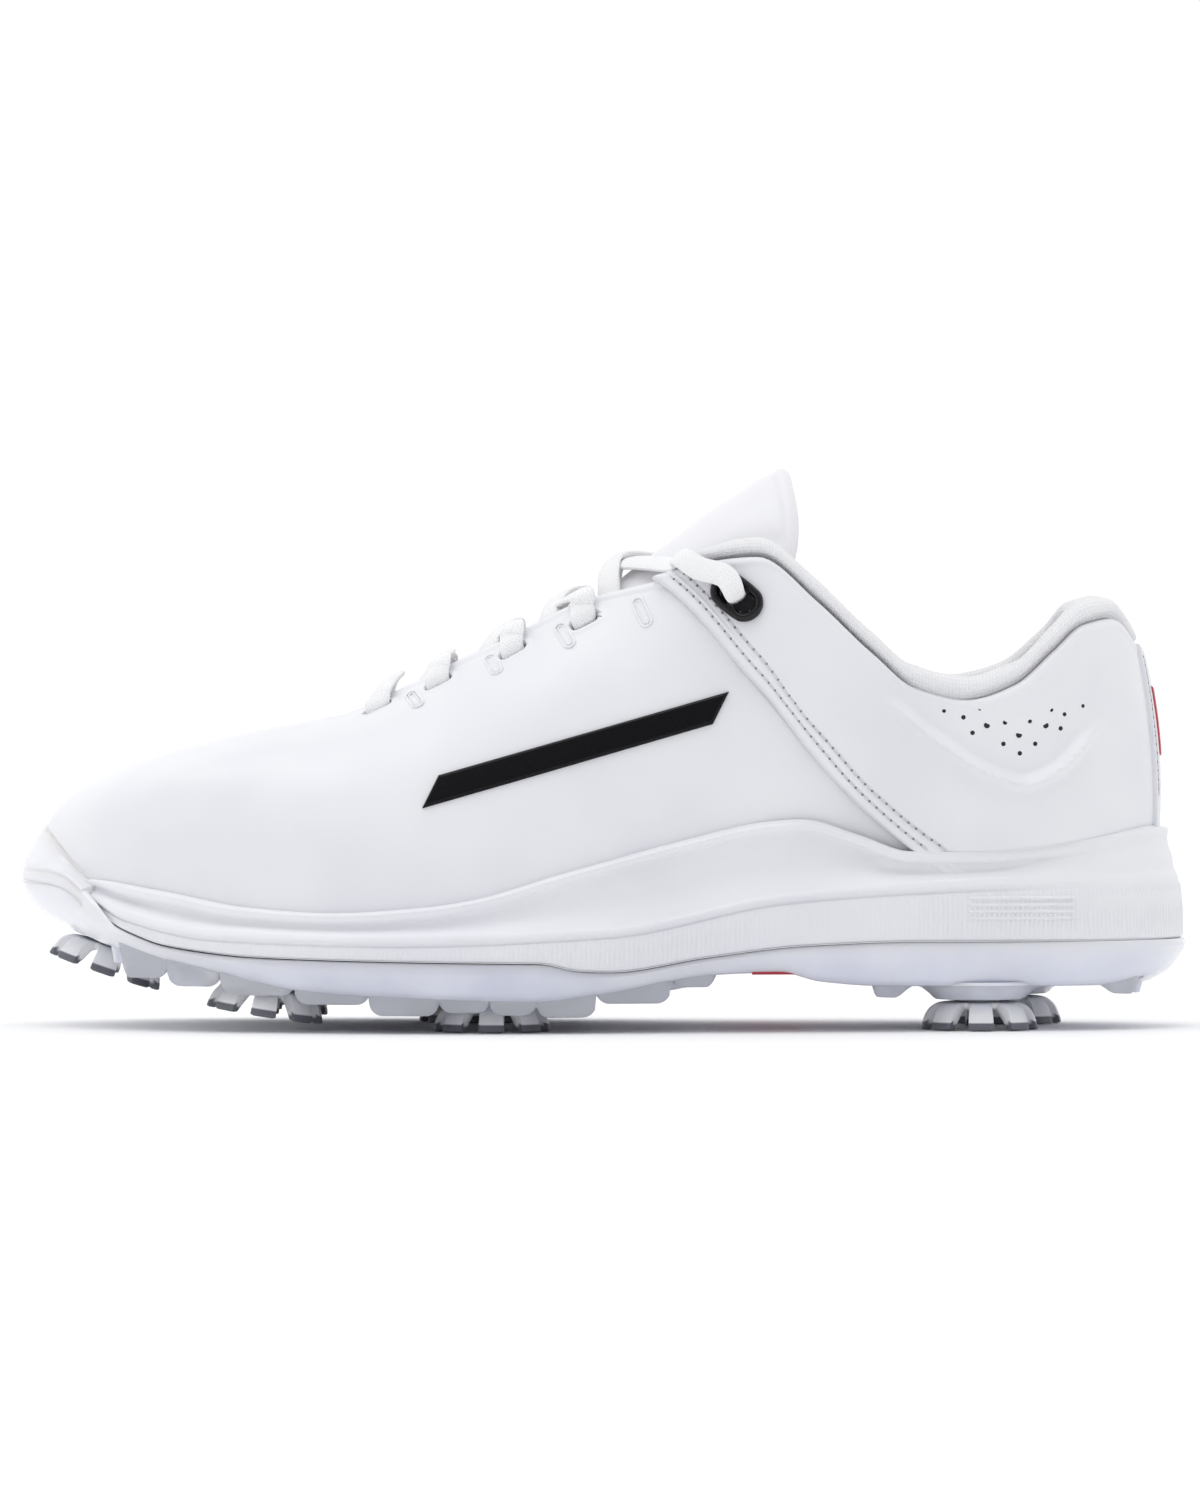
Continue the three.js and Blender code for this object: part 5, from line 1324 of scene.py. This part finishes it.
def holes_on_wall(name, x, z, radii, lift, run=THROAT_RUN):
    """Dark discs of painted hole shade on both walls, at places given in side view. lift(points) is the
    face's height there.
    """
    centres, frames, scales = [], [], []
    for side in (-1, 1):
        sigma, v = on_wall(side, x / LENGTH + 0.5, z)
        normal = upper_normal(sigma, v)
        base = upper_point(sigma, v)
        long = unit(run - normal * (normal @ run)[:, None])
        centres.append(base + normal * np.asarray(lift(base))[..., None])
        frames.append(np.stack([long, np.cross(normal, long), normal], 1))
        scales.append(radii)
    return fit(scatter(name, disc(1.0, 0.05), np.concatenate(centres), np.concatenate(frames), punched,
                       np.concatenate(scales)), "white_leather")

def quarter_lift(base):
    """Just above the leather inside the ankle's V."""
    return LAYER_GAP + LEATHER - ankle_press(base)[1] + 0.02

holes_on_wall("breathing_hole_shade", x, z, radius, quarter_lift)

# %% [markdown]
# ## The midsole
#
# The midsole is a foam cup. From the top it has a raised lip along the leather, a hollow band, a
# soft ridge, and below that a band of fine upright ribs. Its section changes all round the foot, so
# it is given as stations, each an inset and a height at every sigma, and smooth curves run through
# them. Where lip and ridge meet at the toe, the whole section is squeezed.

# %% Midsole
lip_inset = through((0, 4.4), (0.05, 4.2), (0.12, 2.4), (0.6, 2.4), (0.85, 3.6), (1, 4.6))
cup_offset = through((0.58, 0.15), (0.66, LEATHER + LAYER_GAP + 0.12))

def wall_height(sigma, z):
    """The v at which the wall reaches a height, by halving."""
    low, high = np.zeros_like(sigma), np.full_like(sigma, 0.7)
    for _ in range(24):
        middle = (low + high) / 2
        below = upper_point(sigma, middle)[..., 2] < z
        low, high = np.where(below, middle, low), np.where(below, high, middle)
    return (low + high) / 2

def cup_wall(sigma, z):
    """Where the foam touches the upper at a height."""
    point = upper_at(sigma, wall_height(sigma, z), cup_offset(np.abs(fold(sigma))))
    point[:, 2] = z
    return point

def ring(sigma, inset, z):
    spot = sole_inset(sigma, inset)
    return triple(spot[..., 0], spot[..., 1], z)

sigma = np.linspace(-1, 1, 620, endpoint=False)
share = sole_share(sigma)
lip, crest, base_line = lip_height(share), ridge_height(share), plate_top(share)
inset, past = lip_inset(share), bumper_depth(share)
squeeze = np.clip((lip - crest) / 7.5, 0.1, 1)
floor_line = floor_height(share)
inside = cup_wall(sigma, lip - 0.25)
outer = ring(sigma, inset + 0.15, lip - 0.45 * squeeze)
drape = ramp(share, 0.78, 0.95)

def band(down, hollow):
    """The inset of the band under the lip: hollow along the shoe, and an even slope round the heel."""
    hollowed = np.maximum(inset, past + 0.4) + hollow * squeeze
    return hollowed * (1 - drape) + (inset - (inset - past - 2.2) * down**2 + 0.1 * hollow) * drape

cup_foot = cup_wall(sigma, floor_line + 0.2)
last_ring = ring(sigma, past + 3.0, base_line + GAP)
stations = [
    triple(cup_foot[:, 0], centre_line(cup_foot[:, 0] / LENGTH + 0.5), floor_line + GAP),
    cup_foot,
    cup_wall(sigma, (floor_line + lip) / 2),
    inside,
    0.62 * inside + 0.38 * outer + triple(0, 0, 0.35 * squeeze),
    outer,
    ring(sigma, inset - 0.1, lip - 1.2 * squeeze),
    ring(sigma, inset, lip - 2.3 * squeeze),
    ring(sigma, band(0.12, 1.1), lip - 3.0 * squeeze),
    ring(sigma, band(0.4, 1.6), 0.68 * lip + 0.32 * crest - 0.8 * squeeze),
    ring(sigma, band(0.72, 1.1), 0.38 * lip + 0.62 * crest),
    ring(sigma, past + 1.15 + 1.7 * drape, crest + 1.7 * squeeze),
    ring(sigma, past + 0.4 + 1.9 * drape, crest + 0.5 * squeeze),
    ring(sigma, past + 0.35 + 1.6 * drape, crest - 0.4 * squeeze),
    ring(sigma, past + 1.25 + 0.45 * drape, crest - 1.5 * squeeze),
    ring(sigma, past + 0.95, 0.72 * crest + 0.28 * base_line - 0.4 * squeeze),
    ring(sigma, past + 0.75, 0.35 * crest + 0.65 * base_line),
    ring(sigma, past + 1.0, base_line + 0.5),
    last_ring,
    triple(last_ring[:, 0], centre_line(last_ring[:, 0] / LENGTH + 0.5), base_line + GAP),
]
foam = glide(np.array(stations), 118).transpose(1, 0, 2)
foam[:, 0], foam[:, -1] = stations[0], stations[-1]
midsole = surface("midsole_cup", foam, midsole_foam, (True, False), weld=True)
fit(midsole, "midsole_foam", "midsole")

# %% [markdown]
# ## Ribs on the midsole
#
# The lower band carries fine upright ribs, a little over a millimetre apart. They are a thin skin
# on the foam: a wave round the shoe, squared off, whose height grows at the arch and the heel.

# %% Ribs
RIB_PITCH = 1.25
RIB_POINTS = 4400

def even_shares(sigma):
    """A table that spreads sigma evenly by distance round the footprint."""
    closed = np.append(sigma, 1.0)
    passed = np.concatenate([[0], np.linalg.norm(np.diff(sole_point(closed), axis=0), axis=1).cumsum()])
    return passed / passed[-1], closed

def rib_band():
    """Rings from the band's top to its foot, pushed out by a squared-off cosine of the distance round."""
    sigma = np.linspace(-1, 1, RIB_POINTS, endpoint=False)
    sigma = np.interp(np.linspace(0, 1, RIB_POINTS, endpoint=False), *even_shares(sigma))
    share = sole_share(sigma)
    x = x_at(share)
    crest, low, past = ridge_height(share), plate_top(share), bumper_depth(share)
    strength = 0.08 + 0.22 * ramp(x, -40, -8) * ramp(-x, -46, -24) + 0.2 * ramp(x, 70, 88)
    strength *= ramp(crest - low, 3.0, 5.5)
    length = np.concatenate([[0], np.linalg.norm(np.diff(sole_point(sigma), axis=0), axis=1).cumsum()])
    wave = np.clip(np.cos(2 * np.pi * length / RIB_PITCH) * 1.6, -1, 1)
    top = 0.98 * crest + 0.02 * low - 1.7
    bottom = low + 0.6
    rows = []
    for t in (0.0, 0.08, 0.5, 0.92, 1.0):
        z = top + (bottom - top) * t
        body = 1.0 - 0.25 * t + 0.5 * ramp(share, 0.78, 0.95) * (1 - t) ** 2
        rise = strength * (0.5 + 0.5 * wave) * min(1, 8 * t, 8 * (1 - t)) + 0.12
        rows.append(ring(sigma, past + body - rise * (crest - low > 2.2), z))
    for t in (1.0, 0.0):
        rows.append(ring(sigma, past + 1.9, top + (bottom - top) * t))
    return np.array(rows).transpose(1, 0, 2)

ribs = surface("midsole_ribs", rib_band(), rib_foam, (True, True), sharp=60)
fit(ribs, "midsole_foam")

# %% [markdown]
# ## Level bars at the heel
#
# Four rounded bars a side lie one under the other on the heel's lower band. A bar is an oval section
# that follows the footprint and shrinks at both its ends.

# %% Level bars
BAR_ROWS = 4
BAR_TOP = 34.2
BAR_PITCH = 1.75
BAR_START, BAR_STOP = 93.5, 121.5

def level_bar(side, z):
    x = np.linspace(BAR_START, BAR_STOP, 30)
    sigma = side * (np.arccos(np.clip(1 - 2 * (x / LENGTH + 0.5), -1, 1)) / np.pi)
    angle = np.linspace(0, 2 * np.pi, 12, endpoint=False)
    fade = rounded(np.minimum(x - BAR_START + 0.1, BAR_STOP + 0.1 - x), 0.8)[:, None]
    inset = 0.95 - 0.62 * np.cos(angle)[None] * fade
    return ring(sigma[:, None] + 0 * inset, inset, z + 0.5 * np.sin(angle)[None] * fade)

bars = [level_bar(side, BAR_TOP - BAR_PITCH * row) for side in (-1, 1) for row in range(BAR_ROWS)]
for k, grid in enumerate(bars):
    fit(surface(f"heel_bar_{k}", grid, midsole_foam, (False, True), caps=True), "midsole_foam")

# %% [markdown]
# ## The outsole
#
# The outsole is a hard, cloudy plate that turns up over the toe. Its side is the footprint itself,
# and its underside closes on the centre line. Like the midsole, it is a stack of rings.

# %% Outsole plate
wall_top = plate_top(share) + bumper_height(share)
low, lift = underside(share), edge_lift(share)
rim = sole_inset(sigma, 1.5 * lift)
middle = pair(rim[:, 0], centre_line(rim[:, 0] / LENGTH + 0.5))

def under_ring(t, hollow=0.0):
    """The underside at a share of the way from its rim to the centre line."""
    spot = rim * (1 - t) + middle * t
    return triple(spot[:, 0], spot[:, 1], underside(spot[:, 0] / LENGTH + 0.5) + hollow)

stations = [
    triple(middle[:, 0], middle[:, 1], base_line - 0.2),
    triple(rim[:, 0], 0.6 * rim[:, 1] + 0.4 * middle[:, 1], base_line - 0.2),
    ring(sigma, np.maximum(2.4, past + 1.4), base_line - 0.1),
    ring(sigma, np.maximum(0.95, past + 0.1), base_line + 0.35 * bumper_height(share)),
    ring(sigma, np.maximum(0.7, past - 0.3), wall_top - 0.35),
    ring(sigma, np.maximum(0.4, 0.4 * past), wall_top - 0.05),
    ring(sigma, 0.05 + 0 * share, wall_top - 0.8),
    ring(sigma, 0 * share, 0.5 * wall_top + 0.5 * (low + lift)),
    ring(sigma, 0.22 * lift, low + lift),
    ring(sigma, 0.75 * lift, low + 0.32 * lift),
    under_ring(0),
    under_ring(0.12),
    under_ring(0.5, 0.15),
    under_ring(0.85, 0.3),
    under_ring(1.0, 0.3),
]
plate = glide(np.array(stations), 90).transpose(1, 0, 2)
plate[:, 0], plate[:, -1] = stations[0], stations[-1]
outsole = surface("outsole_plate", plate, outsole_plastic, (True, False), weld=True)
fit(outsole, "outsole_plastic", "outsole")

# %% [markdown]
# ## The toe cap
#
# The plastic turns up over the toe and ends in a thin, pointed cap that lies on the leather. Its
# section is a closed loop: in under the bumper, out and up its face, over its top edge and down the
# leather again.

# %% Toe cap
CAP_REACH = 0.15
cap_top = through((0, 51), (0.05, 49.3), (0.09, 45.8), (0.125, 41.2), (0.15, 37.6))
cap_sigma = np.linspace(-CAP_REACH, CAP_REACH, 110)
cap_share = sole_share(cap_sigma)
cap_foot = plate_top(cap_share) + bumper_height(cap_share)
cap_peak = np.maximum(cap_top(np.abs(cap_sigma)), cap_foot - 0.6)

def on_toe(z, offset):
    return upper_at(cap_sigma, wall_height(cap_sigma, z), offset * np.ones_like(cap_sigma))

def below_foot(inset, down):
    return ring(cap_sigma, inset + 0 * cap_share, cap_foot - down)

foot = below_foot(0.25, 0.2)
peak = on_toe(cap_peak - 0.6, 0.75)
forward = np.cos(np.pi * cap_sigma * 2)
cap = [
    on_toe(cap_foot - 3, -0.4),
    below_foot(3.0, 4.6),
    below_foot(0.4, 4.4),
    below_foot(-0.06, 3.4),
    foot,
    0.62 * foot + 0.38 * peak + triple(-0.35 * forward, 0, 0.25),
    0.25 * foot + 0.75 * peak + triple(-0.2 * forward, 0, 0.2),
    peak,
    on_toe(cap_peak, 0.4),
    on_toe(cap_peak, -0.3),
]
cap_grid = glide(np.array(cap), 44, closed=True).transpose(1, 0, 2)
fit(surface("toe_cap", cap_grid, outsole_plastic, (False, True), caps=True), "outsole_plastic")

# %% [markdown]
# ## Blocks
#
# Blocks stand on the plate between the cleats, the same on both sides. A block is a squarish ring
# that shrinks towards its foot.

# %% Blocks
def block(start, stop, across, width, bottom, bottom_end=None):
    """A squarish ring, a superellipse, that shrinks from root to foot and rounds over at the foot."""
    bottom_end = bottom if bottom_end is None else bottom_end
    angle = np.linspace(0, 2 * np.pi, 44, endpoint=False)
    a = np.sign(np.cos(angle)) * np.abs(np.cos(angle)) ** 0.32
    b = np.sign(np.sin(angle)) * np.abs(np.sin(angle)) ** 0.32
    level = np.array([0, 0.3, 0.6, 0.85, 0.95, 0.99, 1.0, 1.0, 1.0])
    shrink = np.array([1, 0.93, 0.84, 0.77, 0.73, 0.66, 0.56, 0.25, 0.0])
    half = (stop - start) * LENGTH / 2
    x = x_at((start + stop) / 2) + shrink[None] * a[:, None] * half
    y = centre_line((start + stop) / 2) + across + shrink[None] * b[:, None] * width / 2
    place = (x / LENGTH + 0.5 - start) / (stop - start)
    foot = bottom + (bottom_end - bottom) * np.clip(place, 0, 1)
    root = underside(x / LENGTH + 0.5) + 1.2
    return triple(x, y, root + (foot - root) * level[None])

BLOCKS = ((0.079, 0.101, 23, 9, 17), (0.136, 0.163, 31, 14, 12.4), (0.238, 0.295, 7, 9, 6),
          (0.3, 0.34, 36, 14, 4.4), (0.453, 0.494, 31, 12, 3.7), (0.442, 0.494, 9, 10, 4.8),
          (0.502, 0.598, 28, 9, 7.4, 12.6), (0.735, 0.755, 20, 10, 8.8), (0.937, 0.962, 14, 9, 9.2))
number = 0
for side in (-1, 1):
    for start, stop, across, width, *feet in BLOCKS:
        grid = block(start, stop, side * across, width, *feet)
        piece = surface(f"sole_block_{number}", grid, outsole_plastic, (True, False), weld=True)
        fit(piece, "outsole_plastic")
        number += 1

# %% [markdown]
# ## Clear skirts
#
# A clear plastic skirt hangs from the plate's rim: scallops under the forefoot, and a point at each
# end of the heel. It is a thin bent section that follows the footprint, and its lower edge is a
# formula or a curve of the place along the shoe.

# %% Clear skirts
FOREFOOT_SKIRT = (-127, 30)
HEEL_SKIRT = (68, 141.5)
SCALLOPS = ((-127, -113.6, 13.5), (-113.6, -99.5, 11.5), (-99.5, -80, 9.4), (-80, -60.4, 7.2),
            (-60.4, -42.3, 4.4), (-42.3, -29, 5.2), (-29, -16.2, 4.6), (-16.2, -1.2, 3.9),
            (-1.2, 17.9, 7.4), (17.9, 30, 11.5))
heel_points = through((68, 16), (70.5, 8.8), (75, 8.6), (80, 11.6), (92, 12.3), (120, 12.3), (129, 11.6),
                      (134, 9.2), (138.5, 9.0), (141.5, 14.5))

def scalloped(x):
    """The skirt's lower edge: each scallop is level in its middle and rounds up at both its ends."""
    foot = np.full(x.shape, 16.0)
    for start, stop, z in SCALLOPS:
        from_end = np.minimum(x - start, stop - x)
        foot = np.where(from_end >= 0, z + 3.2 * (1 - rounded(from_end, 3.6)), foot)
    return foot

def skirt(name, side, start, stop, lower, columns):
    """A section hung from the rim down to the lower edge, which rises to the rim at both ends."""
    x = np.linspace(start, stop, columns)
    sigma = side * np.arccos(np.clip(-2 * x / LENGTH, -1, 1)) / np.pi
    share = sole_share(sigma)
    root = underside(share) + edge_lift(share)
    fade = rounded(np.minimum(x - start, stop - x) + 0.05, 3.0)
    foot = root + (np.minimum(lower(x), root - 0.3) - root) * fade
    section = ((2.2, root + 0.6), (2.9, 0.5 * (root + foot)), (3.6, foot + 0.5), (4.0, foot),
               (4.6, foot + 0.2), (5.0, foot + 1.0), (6.4, root + 0.5))
    rings = [ring(sigma, np.full(x.shape, inset), z) for inset, z in section]
    grid = glide(np.array(rings), 30, closed=True).transpose(1, 0, 2)
    return fit(surface(name, grid, clear_sole, (False, True), caps=True), "outsole_plastic")

for side, word in ((-1, "lateral"), (1, "medial")):
    skirt("forefoot_skirt_" + word, side, *FOREFOOT_SKIRT, scalloped, 420)
    skirt("heel_skirt_" + word, side, *HEEL_SKIRT, heel_points, 150)

# %% [markdown]
# ## Seats for the cleats
#
# Each cleat sits in a seat: a share of the length, a way across, a height above the ground and a
# tilt in degrees. A low collar, turned on a lathe, surrounds it.

# %% Seats
SEATS = (("toe", 0.078, 1, 21, 19), ("forefoot_lateral", 0.215, -29, 11.4, 9),
         ("forefoot_medial", 0.215, 29, 11.4, 9), ("ball_lateral", 0.405, -31, 7.7, 0),
         ("ball_medial", 0.39, 29, 7.7, 0), ("heel_lateral", 0.821, -20, 7.7, 0),
         ("heel_medial", 0.846, 20, 7.7, 0))

def seat_place(points, share, across, height, tilt):
    """Turns points about the cross axis by the seat's tilt and moves them to the seat."""
    turn = math.radians(tilt)
    x = points[..., 0] * math.cos(turn) + points[..., 2] * math.sin(turn)
    z = points[..., 2] * math.cos(turn) - points[..., 0] * math.sin(turn)
    return triple(x + x_at(share), points[..., 1] + centre_line(share) + across, z + height)

def lathe(profile, count):
    """A profile of (radius, height) points turned about the upright axis."""
    angle = np.linspace(0, 2 * np.pi, count, endpoint=False)[:, None]
    r, z = profile[None, :, 0], profile[None, :, 1]
    return triple(r * np.cos(angle), r * np.sin(angle), z + 0 * angle)

COLLAR = np.array([[9.75, 3.9], [9.75, 0.5], [10.0, 0.08], [10.5, 0.0], [11.3, 0.05], [12.0, 0.45],
                   [13.1, 1.6], [15.0, 3.0], [18.0, 4.0], [18.0, 4.8], [11.5, 4.6]])
for name, *place in SEATS:
    grid = seat_place(lathe(COLLAR, 64), *place)
    fit(surface("seat_collar_" + name, grid, outsole_plastic, (True, True)), "outsole_plastic")

# %% [markdown]
# ## The cleats
#
# A soft cleat is a small wheel with eight bent legs. Round it, the section swings between a leg's
# and the notch's; a smooth step of the angle says how much of each. The dark tips are remembered
# as a mark, by how far down the leg a point is. Each cleat turns with its own body.

# %% Cleats
CLEAT_LEGS = 8
LEG = np.array([[0, -2.5], [3.5, -2.6], [6.5, -2.7], [9.0, -3.1], [11.0, -4.6], [12.4, -6.8],
                [12.9, -7.6], [13.9, -7.7], [14.9, -7.55], [15.0, -6.9], [14.3, -4.6], [13.2, -2.6],
                [11.4, -1.2], [9.6, -0.7], [7.4, -0.5], [5.2, -0.5], [5.2, 1.0], [5.1, 2.6],
                [4.4, 2.7], [0, 2.7]])
NOTCH = np.array([[0, -2.5], [3.5, -2.6], [6.2, -2.6], [7.4, -2.6], [8.2, -2.6], [8.8, -2.4],
                  [9.0, -2.3], [9.2, -2.1], [9.35, -1.95], [9.45, -1.7], [9.5, -1.4], [9.45, -1.1],
                  [9.3, -0.85], [8.7, -0.6], [7.2, -0.5], [5.2, -0.5], [5.2, 1.0], [5.1, 2.6],
                  [4.4, 2.7], [0, 2.7]])

def cleat_points(count=CLEAT_LEGS * 14):
    """A share of the leg's section and the rest of the notch's, by the angle from the nearest leg."""
    turn = np.arange(count) / count * CLEAT_LEGS
    away = np.abs(turn - np.round(turn))
    much = ramp(-away, -0.4, -0.27)[:, None, None]
    section = NOTCH[None] * (1 - much) + LEG[None] * much
    dense = glide(section.transpose(1, 0, 2), 58).transpose(1, 0, 2)
    dense[:, 0, 0] = dense[:, -1, 0] = 0
    r, z = dense[..., 0], dense[..., 1]
    angle = (np.arange(count) / count * 2 * np.pi)[:, None]
    grid = triple(r * np.cos(angle), r * np.sin(angle), z)
    return grid, ramp(-z, 4.2, 6.6)

grid, tips = cleat_points()
for name, *place in SEATS:
    cleat = surface("cleat_star_" + name, seat_place(grid, *place), cleat_plastic, (True, False),
                    marks={"tip": tips}, weld=True, sharp=35)
    fit(cleat, "cleat_plastic", "cleat_" + name, body="cleat_" + name)

# %% [markdown]
# ## The sockliner
#
# The sockliner is a loose foam insole under fabric. Its outline is the wall's foot moved inwards;
# its top is rounded at the edge and a little dished, so that it holds the heel.

# %% Sockliner
SOCK_OFFSET = LEATHER + COUNTER + LINING + 2 * GAP + 0.8
sigma = np.linspace(-1, 1, 360, endpoint=False)
share = sole_share(sigma)
edge = upper_at(sigma, np.zeros_like(sigma), -SOCK_OFFSET)
middle = pair(edge[:, 0], centre_line(share))

def sock_ring(t, height):
    """A ring a share of the way from the rim to the middle, at a height above the board."""
    spot = edge[:, :2] * (1 - t) + middle * t
    bed = floor_height(spot[:, 0] / LENGTH + 0.5) + 2 * GAP + BOARD
    return triple(spot[:, 0], spot[:, 1], bed + height)

SOCK_SECTION = ((1, 0), (0.5, 0), (0.03, 0), (0, 0.9), (0, 3.4), (0.03, SOCK_THICKNESS), (0.1, 4.4),
                (0.3, 3.6), (0.65, 3.3), (1, 3.3))
stations = [sock_ring(*place) for place in SOCK_SECTION]
slab = glide(np.array(stations), 60).transpose(1, 0, 2)
slab[:, 0], slab[:, -1] = stations[0], stations[-1]
sock = surface("sock_pad", slab, sock_fabric, (True, False), weld=True)
fit(sock, "sock_foam", "sockliner", body="sockliner")

# %% [markdown]
# ## The pieces that keep their CAD shape
#
# Stiffeners, board, cushion, sockets, the arch's red bar and the lace's tips keep their solids and
# only get a finish.

# %% Finishes for the kept nodes
KEPT = {"toe_puff": stiffener, "heel_counter": stiffener, "strobel_board": board,
        "heel_cushion": cushion_film, "eyestay_lateral": stiffener, "eyestay_medial": stiffener,
        "arch_bar": red_trim, "aglet_lateral": clear_tip, "aglet_medial": clear_tip}
for name, *_ in SEATS:
    KEPT["cleat_socket_" + name] = socket_plastic
for name, finish in KEPT.items():
    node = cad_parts[name]
    if not node.material_slots:
        node.data.materials.append(finish.material)
    for slot in node.material_slots:
        slot.material = finish.material
print(len(KEPT), "nodes keep their shape")

# %% [markdown]
# ## The floor
#
# One large pale sheet, level with the lowest cleats.

# %% Floor
FLOOR_HALF = 4.0
FLOOR_DROP = 0.0002
FLOOR_LINES = 9
floor_mesh = bpy.data.meshes.new("floor")
side = np.linspace(-FLOOR_HALF, FLOOR_HALF, FLOOR_LINES)
gx, gy = np.meshgrid(side, side, indexing="ij")
rows = np.arange(FLOOR_LINES - 1)
quads = (rows[:, None] * FLOOR_LINES + rows[None]).ravel()
corners = np.stack([gx, gy, 0 * gx - FLOOR_DROP], -1).reshape(-1, 3)
sheets = np.stack([quads, quads + FLOOR_LINES, quads + FLOOR_LINES + 1, quads + 1], -1)
floor_mesh.from_pydata(corners.tolist(), [], sheets.tolist())
floor_mesh.materials.append(floor_paper.material)
floor = bpy.data.objects.new("floor", floor_mesh)
bpy.context.scene.collection.objects.link(floor)
